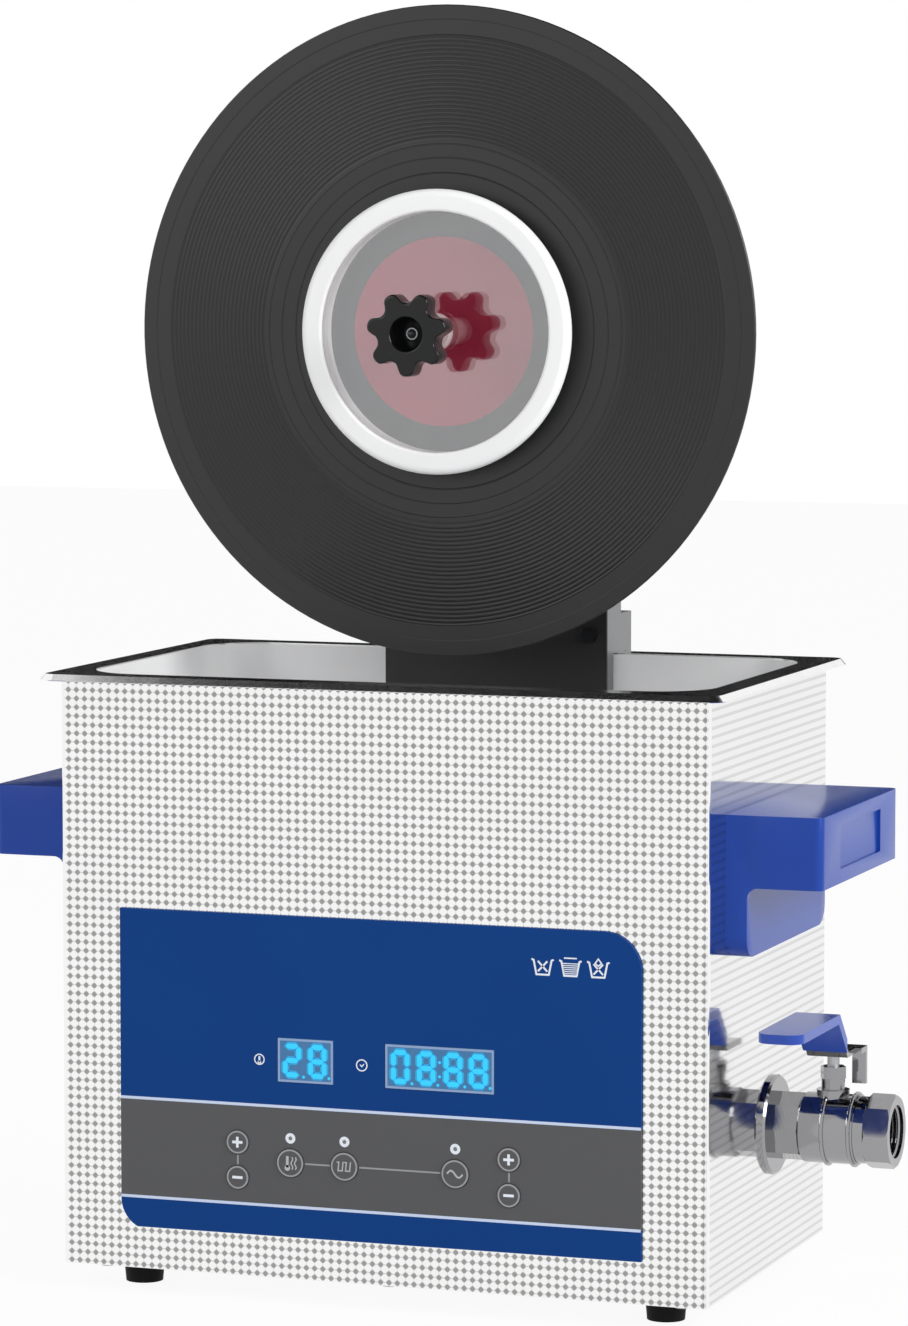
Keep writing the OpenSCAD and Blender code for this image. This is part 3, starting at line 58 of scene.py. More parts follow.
CASING_LOW, CASING_HIGH = box_mm("outer_casing")
CASING_X = (CASING_LOW[0] + CASING_HIGH[0]) / 2
RECORD_LOW, RECORD_HIGH = box_mm("record")
SPINDLE_X, SPINDLE_Z = [(RECORD_LOW[i] + RECORD_HIGH[i]) / 2 for i in (0, 2)]
RECORD_R = (RECORD_HIGH[0] - RECORD_LOW[0]) / 2
print("the casing's middle is at x", round(CASING_X, 2), "and the spindle at", SPINDLE_X, SPINDLE_Z)

# %% [markdown]
# ## Two helpers that every finish uses
# Colours are written as they look on a screen (sRGB hex), while a shader works in linear
# light, so one function converts them. A second one adds a node, sets it and wires it.

# %% Colour and node helpers
def linear(hex_colour):
    """An sRGB hex colour as the linear colour that a socket takes."""
    parts = [int(hex_colour[i:i + 2], 16) / 255 for i in (0, 2, 4)]
    return (*[c / 12.92 if c <= 0.04045 else ((c + 0.055) / 1.055) ** 2.4 for c in parts], 1.0)


def add(tree, kind, inputs=None, family="ShaderNode", **settings):
    """Adds one node, sets its properties, and fills sockets with values or other nodes' outputs."""
    made = tree.nodes.new(family + kind)
    for name, value in settings.items():
        setattr(made, name, value)
    for socket, value in (inputs or {}).items():
        if isinstance(value, bpy.types.NodeSocket):
            tree.links.new(value, made.inputs[socket])
        else:
            made.inputs[socket].default_value = value
    return made


print("mid grey is", round(linear("808080")[0], 3), "in linear light")

# %% [markdown]
# ## The camera
# The photograph was taken from a little to the right and slightly above, with a long lens.
# The place and the lens were found by fitting the solids' known corners to the picture, so
# the camera stands where the photographer's stood, and nothing else has to be adjusted.

# %% Camera
CAMERA_AT = (CASING_X + 817.1, -2297.9, 502.0)
CAMERA_TURN, CAMERA_DIP, LENS = 19.70, 5.10, 141.96
lens = bpy.data.cameras.new("long_lens")
lens.lens, lens.sensor_width = LENS, 36.0
lens.clip_start, lens.clip_end = 0.05, 60.0
camera = bpy.data.objects.new("camera", lens)
camera.location = [v * MM for v in CAMERA_AT]
camera.rotation_euler = (math.radians(90 - CAMERA_DIP), 0, math.radians(CAMERA_TURN))
bpy.context.scene.collection.objects.link(camera)
bpy.context.scene.camera = camera
print("camera at", tuple(camera.location), "lens", LENS, "mm")

# %% [markdown]
# ## White studio
# A product shot on white uses a pale floor, a white surround and a large soft lamp. Floor
# and surround are white for the camera and for what metal and acrylic reflect, and dimmer
# for the light they shed, so that pale steel keeps its dots. The floor keeps a soft shadow.

# %% Surround and floor
AMBIENT, FLOOR_GLOW = 0.62, 0.92


def seen_directly(tree):
    """One for what the camera, a mirror or clear plastic sees, else zero."""
    ray = add(tree, "LightPath")
    seen = add(tree, "Math", {0: ray.outputs["Is Camera Ray"], 1: ray.outputs["Is Glossy Ray"]},
               operation="ADD")
    return add(tree, "Math", {0: seen.outputs[0], 1: ray.outputs["Is Transmission Ray"]},
               operation="ADD", use_clamp=True).outputs[0]


bpy.context.scene.view_settings.view_transform = "Standard"
world = bpy.data.worlds.new("white_studio")
bpy.context.scene.world = world
world.use_nodes = True
sky = world.node_tree
sky.nodes.clear()
shed = add(sky, "Background", {"Color": linear("fdfeff"), "Strength": AMBIENT})
white = add(sky, "Background", {"Color": (1, 1, 1, 1), "Strength": 1.0})
both = add(sky, "MixShader", {0: seen_directly(sky), 1: shed.outputs[0], 2: white.outputs[0]})
add(sky, "OutputWorld", {"Surface": both.outputs[0]})

floor_paint = bpy.data.materials.new("white_floor")
floor_paint.use_nodes = True
tree = floor_paint.node_tree
tree.nodes.clear()
part = add(tree, "Math", {0: seen_directly(tree), 1: FLOOR_GLOW}, operation="MULTIPLY")
paint = add(tree, "BsdfDiffuse", {"Color": linear("f4f4f4")})
glow = add(tree, "Emission", {"Color": (1, 1, 1, 1), "Strength": 1.0})
both = add(tree, "MixShader", {0: part.outputs[0], 1: paint.outputs[0], 2: glow.outputs[0]})
add(tree, "OutputMaterial", {"Surface": both.outputs[0]})


def card(name, corners, material):
    """A flat sheet of the studio, not part of the object, from its corners in millimetres."""
    mesh = bpy.data.meshes.new(name)
    mesh.from_pydata([[v * MM for v in c] for c in corners], [], [tuple(range(len(corners)))])
    sheet = bpy.data.objects.new(name, mesh)
    sheet.data.materials.append(material)
    bpy.context.scene.collection.objects.link(sheet)
    return sheet


FLOOR = 6000
card("floor", [(-FLOOR, -FLOOR, 0), (FLOOR, -FLOOR, 0), (FLOOR, FLOOR, 0), (-FLOOR, FLOOR, 0)],
     floor_paint)
print("floor is", 2 * FLOOR / 1000, "m wide")

# %% [markdown]
# ## Lamps and black cards
# One big soft lamp stands to the right, a weaker one to the left. Polished steel only shows
# what surrounds it, so a photographer holds up black cards: they draw the dark rim of the
# tub and the dark streaks of the chrome. Here the cards are seen by reflections alone.

# %% Lamps
def soft_lamp(name, place, aim, size, watts):
    """A square soft box at a place, turned to what it lights."""
    lamp = bpy.data.lights.new(name, "AREA")
    lamp.shape, lamp.size, lamp.energy = "SQUARE", size, watts
    box = bpy.data.objects.new(name, lamp)
    box.location = place
    box.rotation_euler = (Vector(aim) - Vector(place)).to_track_quat("-Z", "Y").to_euler()
    bpy.context.scene.collection.objects.link(box)


soft_lamp("key_lamp", (2.6, -0.7, 1.4), (0, 0, 0.25), 1.4, 56)
soft_lamp("fill_lamp", (-1.5, -2.3, 1.2), (0, 0, 0.3), 1.2, 11)

black_card = bpy.data.materials.new("black_card")
black_card.use_nodes = True
tree = black_card.node_tree
tree.nodes.clear()
dull = add(tree, "BsdfDiffuse", {"Color": (0.004, 0.004, 0.004, 1)})
add(tree, "OutputMaterial", {"Surface": dull.outputs[0]})

CARDS = {
    "rear_card": [(-1500, 1500, 300), (250, 1500, 300), (250, 1500, 1000), (-1500, 1500, 1000)],
    "roof_card": [(-700, -700, 1500), (1100, -700, 1500), (1100, 900, 1500), (-700, 900, 1500)],
}
for name, corners in CARDS.items():
    sheet = card(name, corners, black_card)
    sheet.visible_camera = sheet.visible_diffuse = sheet.visible_shadow = False
    sheet.visible_transmission = False
print("black cards:", ", ".join(CARDS))

# %% [markdown]
# ## What a finish is made of
# Every surface here has a body colour that drifts a little, a roughness that varies at the
# size of its real grain, and a shallow relief. One function lays those three over a shader.
# Noise in object coordinates needs no unwrapping and stays put when a part moves.

# %% The finish maker
finishes = {}


def finish(name, colour, drift, rough, swing, grain, relief, stretch=(1, 1, 1), **sockets):
    """A material: colour drifting to a second one, roughness swinging by the size of its grain
    in millimetres, and a relief in millimetres. Stretch draws the grain out along an axis."""
    made = bpy.data.materials.new(name)
    made.use_nodes = True
    tree = made.node_tree
    shader = tree.nodes["Principled BSDF"]
    for socket, value in sockets.items():
        shader.inputs[socket.replace("_", " ")].default_value = value
    place = add(tree, "TexCoord")
    fine = add(tree, "Mapping", {"Vector": place.outputs["Object"],
                                 "Scale": [s / (grain * MM) for s in stretch]})
    grains = add(tree, "TexNoise", {"Vector": fine.outputs[0], "Scale": 1.0, "Detail": 2.0})
    clouds = add(tree, "TexNoise", {"Vector": place.outputs["Object"], "Scale": 18.0,
                                    "Detail": 1.0})
    tint = add(tree, "Mix", {0: clouds.outputs[0], 6: linear(colour), 7: linear(drift)},
               data_type="RGBA")
    gloss = add(tree, "MapRange", {"Value": grains.outputs[0], "From Min": 0.3, "From Max": 0.7,
                                   "To Min": rough - swing, "To Max": rough + swing})
    bump = add(tree, "Bump", {"Height": grains.outputs[0], "Distance": relief * MM,
                              "Strength": 1.0})
    tree.links.new(tint.outputs[2], shader.inputs["Base Color"])
    tree.links.new(gloss.outputs[0], shader.inputs["Roughness"])
    tree.links.new(bump.outputs[0], shader.inputs["Normal"])
    finishes[name] = made
    return made, tree, shader, tint, bump


# %% [markdown]
# ## Metals
# Rolled stainless steel is grey and bright, with a faint grain from the rolls. Chrome plate
# is smoother and mirrors the room. Zinc is duller, black oxide is a thin dark skin on steel,
# and sintered bronze is porous. A metal keeps the shader's default IOR.

# %% Metal finishes
finish("rolled_stainless", "cfd0d2", "c2c3c6", 0.18, 0.03, 0.5, 0.002, (1, 1, 0.08),
       Metallic=1.0)
finish("turned_stainless", "87888a", "7c7d7f", 0.25, 0.05, 0.2, 0.003, (1, 6, 1), Metallic=1.0)
finish("satin_bracket_steel", "8e8f90", "828385", 0.42, 0.05, 0.4, 0.004, (1, 1, 0.05),
       Metallic=1.0)
finish("chrome_plate", "9f9fa1", "939395", 0.09, 0.02, 3.0, 0.002, Metallic=1.0)
finish("zinc_plate", "b9babc", "a8a9ac", 0.32, 0.07, 0.8, 0.003, Metallic=1.0)
finish("black_oxide", "303133", "1d1e20", 0.38, 0.06, 0.5, 0.003, Metallic=0.9)
finish("sintered_bronze", "b08a4e", "94713c", 0.45, 0.08, 0.3, 0.01, Metallic=1.0)
finish("turned_aluminium", "c4c5c7", "b4b5b8", 0.3, 0.06, 0.2, 0.004, (1, 1, 6), Metallic=1.0)
print("metals:", len(finishes))

# %% [markdown]
# ## Plastics, rubbers and coatings
# Moulded ABS has a satin skin. Its reflection grows at grazing angles, which is why the
# sides of the handles look pale beside their fronts. Black satin paint and rubber reflect
# little. Cast acrylic is as clear as glass under a pale sheen of the white room. Here it is
# a white mirror that lets 85 percent of what lies behind it through.

# %% Plastic finishes
finish("satin_blue_abs", "1040a0", "0d3993", 0.24, 0.03, 0.35, 0.004, IOR=1.53,
       Specular_IOR_Level=0.27)
finish("dipped_blue_vinyl", "1f47ac", "1a3e9a", 0.22, 0.04, 1.2, 0.006, IOR=1.53,
       Specular_IOR_Level=0.4)
finish("black_satin_paint", "1d1d1e", "18181a", 0.48, 0.06, 0.25, 0.004, IOR=1.5,
       Specular_IOR_Level=0.42)
finish("moulded_black_nylon", "17181a", "111214", 0.46, 0.07, 0.3, 0.006, IOR=1.53,
       Specular_IOR_Level=0.35)
finish("moulded_grey_abs", "3a3b3d", "323335", 0.42, 0.06, 0.35, 0.006, IOR=1.53)
finish("moulded_knob", "080a09", "050606", 0.2, 0.04, 0.4, 0.004, IOR=1.53,
       Specular_IOR_Level=0.3)
finish("gloss_red_pc", "a01818", "8c1010", 0.18, 0.04, 1.0, 0.002, IOR=1.58)
finish("foot_rubber", "070708", "050505", 0.62, 0.06, 0.5, 0.01, IOR=1.5,
       Specular_IOR_Level=0.15)
finish("nitrile_seal", "161616", "0e0e0e", 0.55, 0.06, 0.5, 0.008, IOR=1.5)
finish("white_silicone", "f9f9f9", "f2f2f2", 0.42, 0.05, 0.8, 0.004, IOR=1.41)
finish("white_ptfe", "efefed", "e6e6e3", 0.38, 0.05, 0.8, 0.003, IOR=1.35)
finish("natural_nylon", "b7a3a3", "ad9999", 0.36, 0.05, 0.7, 0.004, IOR=1.53)
finish("green_epoxy_board", "1c5a34", "164a2a", 0.3, 0.05, 1.5, 0.006, IOR=1.55)
finish("orange_silicone", "b8521f", "a84818", 0.5, 0.05, 0.8, 0.01, IOR=1.41)
finish("clear_polycarbonate", "dfe6ee", "d2dae4", 0.12, 0.03, 1.0, 0.001, IOR=1.58)
finish("cast_acrylic", "ffffff", "f6f8fb", 0.03, 0.01, 30.0, 0.0005, Metallic=1.0, Alpha=0.15)
print("finishes so far:", len(finishes))

# %% [markdown]
# ## Drawn tub steel
# The tub is one drawn sheet. Its flat rim is polished and mirrors the dark room above and
# behind it, while the press left the walls below it pale and a little wavy, so that they
# show soft upright streaks. How metallic the shader is follows the height: full on the rim
# and its sloping lip, and less on the walls, whose scattered light is then bright enough.

# %% Tub finish
LINER_TOP = box_mm("tank_liner")[1][2]
tree, shader, tint, bump = finish("drawn_tub_stainless", "fafafa", "f2f2f3", 0.16, 0.03, 0.5,
                                  0.002, (1, 1, 0.08))[1:]
place = add(tree, "TexCoord")
at = add(tree, "SeparateXYZ", {0: place.outputs["Object"]})
wall = add(tree, "Math", {0: at.outputs[2], 1: (LINER_TOP - 0.6) * MM}, operation="LESS_THAN")
out_x = add(tree, "Math", {0: at.outputs[0], 1: -CASING_X * MM}, operation="ADD")
out_x = add(tree, "Math", {0: out_x.outputs[0]}, operation="ABSOLUTE")
in_x = add(tree, "Math", {0: out_x.outputs[0], 1: (CASING_HIGH[0] - CASING_X) * MM},
           operation="LESS_THAN")
in_front = add(tree, "Math", {0: at.outputs[1], 1: CASING_LOW[1] * MM},
               operation="GREATER_THAN")
in_back = add(tree, "Math", {0: at.outputs[1], 1: CASING_HIGH[1] * MM}, operation="LESS_THAN")
for limit in (in_x, in_front, in_back):
    wall = add(tree, "Math", {0: wall.outputs[0], 1: limit.outputs[0]}, operation="MULTIPLY")
metallic = add(tree, "MapRange", {"Value": wall.outputs[0], "To Min": 1.0, "To Max": 0.05})
tree.links.new(metallic.outputs[0], shader.inputs["Metallic"])
waves = add(tree, "Mapping", {"Vector": place.outputs["Object"], "Scale": (38.0, 38.0, 2.0)})
waves = add(tree, "TexNoise", {"Vector": waves.outputs[0], "Scale": 1.0, "Detail": 1.0})
pressed = add(tree, "Bump", {"Height": waves.outputs[0], "Distance": 0.5 * MM, "Strength": 0.6,
                             "Normal": bump.outputs[0]})
tree.links.new(pressed.outputs[0], shader.inputs["Normal"])
print("the tub's rim is polished above z", round(LINER_TOP - 0.6, 1))

# %% [markdown]
# ## Embossed casing steel
# The casing is stainless sheet rolled between patterned rolls: a dot every 4 mm, each about
# 3 mm across, with thin creases that join the dots of a row, and more faintly those of a
# column. The dots are worked out from
# the distance to the middle of each 4 mm cell. On the two ends of the casing the rolls left
# the dots drawn out along the row, so there they run together into soft grey lines. The
# steel between the dots is polished, and mirrors the valve and the handle beside it.

# %% Dot pattern
PITCH, DOT, CREASE = 4.0, 2.9, 0.45
PLAIN_EDGE = 2.4
tree, shader, tint, bump = finish("dot_embossed_stainless", "f8f8f8", "f2f2f2", 0.07, 0.02,
                                  0.6, 0.0004, Metallic=1.0)[1:]
place = add(tree, "TexCoord")
at = add(tree, "SeparateXYZ", {0: place.outputs["Object"]})
facing = add(tree, "SeparateXYZ", {0: place.outputs["Normal"]})
sideways = add(tree, "Math", {0: facing.outputs[0]}, operation="ABSOLUTE")
sideways = add(tree, "Math", {0: sideways.outputs[0], 1: 0.6}, operation="GREATER_THAN")
along = add(tree, "Mix", {0: sideways.outputs[0], 2: at.outputs[0], 3: at.outputs[1]})


def from_cell(source, start):
    """How far a place lies from the middle of its 4 mm cell, in cells, where rows start at start."""
    cells = add(tree, "Math", {0: source, 1: -start * MM}, operation="ADD")
    cells = add(tree, "Math", {0: cells.outputs[0], 1: PITCH * MM}, operation="DIVIDE")
    cells = add(tree, "Math", {0: cells.outputs[0]}, operation="FRACT")
    cells = add(tree, "Math", {0: cells.outputs[0], 1: 0.5}, operation="SUBTRACT")
    return add(tree, "Math", {0: cells.outputs[0]}, operation="ABSOLUTE").outputs[0]


FIRST_ROW = CASING_HIGH[2] - 0.4
DRAWN_OUT, THINNER, SOFTER = 0.12, 1.75, 0.42
offsets = [from_cell(along.outputs[0], CASING_LOW[0] + PLAIN_EDGE),
           from_cell(at.outputs[2], FIRST_ROW)]
for i, on_ends in enumerate((DRAWN_OUT, THINNER)):
    share = add(tree, "MapRange", {"Value": sideways.outputs[0], "To Min": 1.0, "To Max": on_ends})
    offsets[i] = add(tree, "Math", {0: offsets[i], 1: share.outputs[0]},
                     operation="MULTIPLY").outputs[0]
diamond = add(tree, "Math", {0: offsets[0], 1: offsets[1]}, operation="ADD")
square = [add(tree, "Math", {0: o, 1: 2.0}, operation="POWER").outputs[0] for o in offsets]
round_one = add(tree, "Math", {0: square[0], 1: square[1]}, operation="ADD")
round_one = add(tree, "Math", {0: round_one.outputs[0]}, operation="SQRT")
reach = add(tree, "Math", {0: diamond.outputs[0], 1: round_one.outputs[0]}, operation="ADD")
edge = DOT / PITCH
dots = add(tree, "MapRange", {"Value": reach.outputs[0], "From Min": edge * 0.72,
                              "From Max": edge * 1.2, "To Min": 1.0, "To Max": 0.0},
           interpolation_type="SMOOTHSTEP")
marks = dots
for offset, depth in ((offsets[1], 0.42), (offsets[0], 0.22)):
    crease = add(tree, "MapRange", {"Value": offset, "From Min": 0.2 * CREASE / PITCH,
                                    "From Max": CREASE / PITCH, "To Min": depth, "To Max": 0.0})
    marks = add(tree, "Math", {0: marks.outputs[0], 1: crease.outputs[0]}, operation="MAXIMUM")
print("a dot every", PITCH, "mm")

# %% [markdown]
# The sheet isn't patterned to its very edges. A plain strip runs down the front's left edge
# and the start of each end. The ends catch the light, and that light is painted: there the pattern
# is made paler.

# %% Where the pattern stops
END_PLAIN, BEHIND_FRONT, OFF_END = 4.4, 1.0, 0.5
past_edge = add(tree, "Math", {0: at.outputs[0], 1: (CASING_LOW[0] + PLAIN_EDGE) * MM},
                operation="GREATER_THAN")
past_bend = add(tree, "Math", {0: at.outputs[1], 1: (CASING_LOW[1] + END_PLAIN) * MM},
                operation="GREATER_THAN")
off_end = add(tree, "Math", {0: at.outputs[0], 1: (CASING_HIGH[0] - OFF_END) * MM},
              operation="LESS_THAN")
patterned = add(tree, "Math", {0: past_bend.outputs[0], 1: off_end.outputs[0]},
                operation="MAXIMUM")
# Painted light: on the ends the marks are made paler, because the ends catch the light.
painted_light_on_ends = add(tree, "MapRange", {"Value": sideways.outputs[0], "To Min": 1.0, "To Max": SOFTER})
for share in (painted_light_on_ends, past_edge, patterned):
    marks = add(tree, "Math", {0: marks.outputs[0], 1: share.outputs[0]}, operation="MULTIPLY")
shaded = add(tree, "Mix", {0: marks.outputs[0], 6: tint.outputs[2], 7: linear("9c9c9a")},
             data_type="RGBA")
print("plain for", PLAIN_EDGE, "mm at the front's edge and", END_PLAIN, "mm on the ends")

# %% [markdown]
# A dark line is painted down the front's right corner: a painted reflection of the dark room in
# the bend, notched where the bend cuts through the last dots. The front's left edge ends in a thin
# grey line of painted shade.

# %% Corner lines
NOTCH, NOTCH_DEEP, EDGE_LINE = 0.7, 1.5, 0.7
# Painted reflection: the dark room mirrored in the bend, coloured in as a dark line down the corner.
dark_reflection_start = add(tree, "MapRange", {"Value": offsets[1], "From Min": 0.0, "From Max": 0.5,
                                 "To Min": (CASING_HIGH[0] - NOTCH_DEEP) * MM,
                                 "To Max": (CASING_HIGH[0] - NOTCH) * MM})
corner = add(tree, "Math", {0: at.outputs[0], 1: dark_reflection_start.outputs[0]}, operation="GREATER_THAN")
front = add(tree, "Math", {0: at.outputs[1], 1: (CASING_LOW[1] + BEHIND_FRONT) * MM},
            operation="LESS_THAN")
level = add(tree, "Math", {0: 1.0, 1: sideways.outputs[0]}, operation="SUBTRACT")
for share in (front, level):
    corner = add(tree, "Math", {0: corner.outputs[0], 1: share.outputs[0]}, operation="MULTIPLY")
shaded = add(tree, "Mix", {0: corner.outputs[0], 6: shaded.outputs[2], 7: linear("3c3c3d")},
             data_type="RGBA")
# Painted shade: a thin grey line down the front's left edge.
at_edge = add(tree, "Math", {0: at.outputs[0], 1: (CASING_LOW[0] + EDGE_LINE) * MM},
              operation="LESS_THAN")
painted_edge_shade = add(tree, "Math", {0: at_edge.outputs[0], 1: front.outputs[0]}, operation="MULTIPLY")
shaded = add(tree, "Mix", {0: painted_edge_shade.outputs[0], 6: shaded.outputs[2], 7: linear("8e8e8f")},
             data_type="RGBA")
height = add(tree, "Math", {0: marks.outputs[0], 1: level.outputs[0]}, operation="MULTIPLY")
relief = add(tree, "Bump", {"Height": height.outputs[0], "Distance": 0.08 * MM, "Strength": 0.4,
                            "Normal": bump.outputs[0]})
tree.links.new(shaded.outputs[2], shader.inputs["Base Color"])
tree.links.new(relief.outputs[0], shader.inputs["Normal"])
print("corner notches", NOTCH_DEEP - NOTCH, "mm deep")

# %% [markdown]
# ## Pressed vinyl and paper label
# A record's grooves are far finer than a pixel. What the eye sees are the spirals that
# divide them: shallow steps that run round the spindle, dark on the side away from the
# light. The solid has these steps, 2 mm apart. Here their walls are also painted darker, a
# painted shade placed by the distance to the spindle's axis, and a shallow relief stands for the
# grooves between them.
# The real pitch is about 0.1 mm; it is drawn at 2 mm, because finer lines wouldn't show.

# %% Grooves
GROOVE_SHOWN, GROOVE_DEEP, STEP, FIRST_STEP, LAST_STEP = 2.0, 0.06, 2.0, 14.8, 62.8
tree, shader, tint, bump = finish("pressed_vinyl", "171717", "131313", 0.40, 0.04, 0.4, 0.001,
                                  IOR=1.54, Specular_IOR_Level=0.4)[1:]
place = add(tree, "TexCoord")
centred = add(tree, "VectorMath", {0: place.outputs["Object"],
                                   1: (-SPINDLE_X * MM, 0.0, -SPINDLE_Z * MM)},
              operation="ADD")
flat = add(tree, "VectorMath", {0: centred.outputs[0], 1: (1.0, 0.0, 1.0)},
           operation="MULTIPLY")
radius = add(tree, "VectorMath", {0: flat.outputs[0]}, operation="LENGTH").outputs["Value"]
rings = add(tree, "Math", {0: radius, 1: 2 * math.pi / (GROOVE_SHOWN * MM)},
            operation="MULTIPLY")
rings = add(tree, "Math", {0: rings.outputs[0]}, operation="SINE")
inward = add(tree, "Math", {0: (RECORD_R - FIRST_STEP) * MM, 1: radius}, operation="SUBTRACT")
steps = add(tree, "Math", {0: inward.outputs[0], 1: STEP * MM}, operation="DIVIDE")
steps = add(tree, "Math", {0: steps.outputs[0]}, operation="FRACT")
wall = add(tree, "MapRange", {"Value": steps.outputs[0], "From Min": 0.34, "From Max": 0.28,
                              "To Min": 0.0, "To Max": 1.0})
started = add(tree, "Math", {0: inward.outputs[0], 1: 0.0}, operation="GREATER_THAN")
going = add(tree, "Math", {0: inward.outputs[0], 1: (LAST_STEP - FIRST_STEP) * MM},
            operation="LESS_THAN")
grooved = add(tree, "Math", {0: started.outputs[0], 1: going.outputs[0]}, operation="MULTIPLY")
wall = add(tree, "Math", {0: wall.outputs[0], 1: grooved.outputs[0]}, operation="MULTIPLY")
rings = add(tree, "Math", {0: rings.outputs[0], 1: grooved.outputs[0]}, operation="MULTIPLY")
ridges = add(tree, "Bump", {"Height": rings.outputs[0], "Distance": GROOVE_DEEP * MM,
                            "Strength": 1.0, "Normal": bump.outputs[0]})
tree.links.new(ridges.outputs[0], shader.inputs["Normal"])
# Painted shade: the walls of the steps are coloured darker.
painted_step_shade = add(tree, "Mix", {0: wall.outputs[0], 6: tint.outputs[2], 7: linear("030303")},
             data_type="RGBA")
tree.links.new(painted_step_shade.outputs[2], shader.inputs["Base Color"])
finish("crimson_label_paper", "a31c3c", "99193a", 0.6, 0.05, 0.25, 0.01, IOR=1.5,
       Specular_IOR_Level=0.3)
print("grooves drawn every", GROOVE_SHOWN, "mm, steps every", STEP, "mm")

# %% [markdown]
# ## Printed panel film
# The control panel is a polyester film, printed from behind: blue above and below, and a
# grey band for the buttons. The band lies between two heights, so the film's colour is
# chosen by z. Its satin face reflects little, which keeps the blue deep.

# %% Panel film and display window
def give_light(material, colour, strength):
    """Lets a finish give off light of its own."""
    shader = material.node_tree.nodes["Principled BSDF"]
    shader.inputs["Emission Color"].default_value = linear(colour)
    shader.inputs["Emission Strength"].default_value = strength


BAND = (45.5, 91.2)
tree, shader, tint = finish("printed_polyester_film", "0d3f82", "0b3a7c", 0.5, 0.04, 0.4, 0.003,
                            IOR=1.5, Specular_IOR_Level=0.08)[1:4]
place = add(tree, "TexCoord")
at = add(tree, "SeparateXYZ", {0: place.outputs["Object"]})
above = add(tree, "Math", {0: at.outputs[2], 1: BAND[0] * MM}, operation="GREATER_THAN")
below = add(tree, "Math", {0: at.outputs[2], 1: BAND[1] * MM}, operation="LESS_THAN")
inside = add(tree, "Math", {0: above.outputs[0], 1: below.outputs[0]}, operation="MULTIPLY")
banded = add(tree, "Mix", {0: inside.outputs[0], 6: tint.outputs[2], 7: linear("5a5a5c")},
             data_type="RGBA")
tree.links.new(banded.outputs[2], shader.inputs["Base Color"])
finish("grey_film", "5b5b5d", "565658", 0.5, 0.04, 0.4, 0.003, IOR=1.5, Specular_IOR_Level=0.12)
window = finish("display_window", "3f6286", "38597c", 0.25, 0.04, 2.0, 0.001, IOR=1.5,
                Specular_IOR_Level=0.2)[0]
# Painted light: the window itself gives off a faint blue glow.
give_light(window, "3a78a8", 0.4)
print("panel band from", BAND[0], "to", BAND[1], "mm")

# %% [markdown]
# ## Dressing the solids
# Each solid arrives with the name of its finish as the name of its material, so a table from
# that name to the material made above dresses all of them in one loop.

# %% Assign finishes
FINISH_OF = {
    "stainless": "rolled_stainless", "patterned_stainless": "dot_embossed_stainless",
    "bracket_steel": "satin_bracket_steel", "chrome": "chrome_plate", "steel": "zinc_plate",
    "black_steel": "black_satin_paint", "black_oxide": "black_oxide",
    "panel_blue": "printed_polyester_film", "display": "display_window",
    "lens": "clear_polycarbonate", "board": "green_epoxy_board", "heater": "orange_silicone",
    "ceramic": "turned_aluminium", "black_plastic": "moulded_black_nylon",
    "grey_plastic": "moulded_grey_abs", "rocker_red": "gloss_red_pc",
    "handle_blue": "satin_blue_abs", "grip_blue": "dipped_blue_vinyl",
    "foot_rubber": "foot_rubber", "seal_rubber": "nitrile_seal",
    "white_silicone": "white_silicone", "ptfe": "white_ptfe", "nylon": "natural_nylon",
    "bronze": "sintered_bronze", "acrylic": "cast_acrylic", "vinyl": "pressed_vinyl",
    "label_paper": "crimson_label_paper", "button_grey": "grey_film",
    "knob_black": "moulded_knob",
}
FINISH_OF_NODE = {"tank_liner": "drawn_tub_stainless", "spindle_shaft": "turned_stainless"}
for name, node in nodes.items():
    for slot in node.material_slots:
        plain = FINISH_OF[slot.material.name.split(".")[0]]
        slot.material = finishes[FINISH_OF_NODE.get(name, plain)]
print("dressed", len(nodes), "solids in", len(FINISH_OF), "finishes")

# %% [markdown]
# ## Screen print
# The panel's lines and signs are ink, 0.05 mm thick. They are made as real thin pieces from
# two kinds of outline: a stroke, which is a line with a width, and a filled convex shape.
# That keeps their edges crisp at any distance, which a painted texture wouldn't.

# %% Ink helpers
INK = 0.05


def finished(made, name, material):
    """The mesh that was being made, as an object of the scene that wears a finish."""
    bmesh.ops.recalc_face_normals(made, faces=made.faces)
    mesh = bpy.data.meshes.new(name)
    made.to_mesh(mesh)
    made.free()
    piece = bpy.data.objects.new(name, mesh)
    piece.data.materials.append(material)
    bpy.context.scene.collection.objects.link(piece)
    return piece


def stroke(points, width, closed=False):
    """Both edges of a line of that width through points (x, z), mitred at its corners."""
    points = [Vector(p) for p in points]
    count, left, right = len(points), [], []
    for i, point in enumerate(points):
        before = point - points[i - 1] if (closed or i) else None
        after = points[(i + 1) % count] - point if (closed or i < count - 1) else None
        a = (before or after).normalized()
        b = (after or before).normalized()
        across = Vector((-(a + b).y, (a + b).x)).normalized()
        half = width / 2 / max(0.4, across.dot(Vector((-a.y, a.x))))
        left.append(point + across * half)
        right.append(point - across * half)
    return left, right, closed


def circle(x, z, radius, count=40):
    """Points round a circle."""
    turns = [2 * math.pi * i / count for i in range(count)]
    return [(x + radius * math.cos(t), z + radius * math.sin(t)) for t in turns]


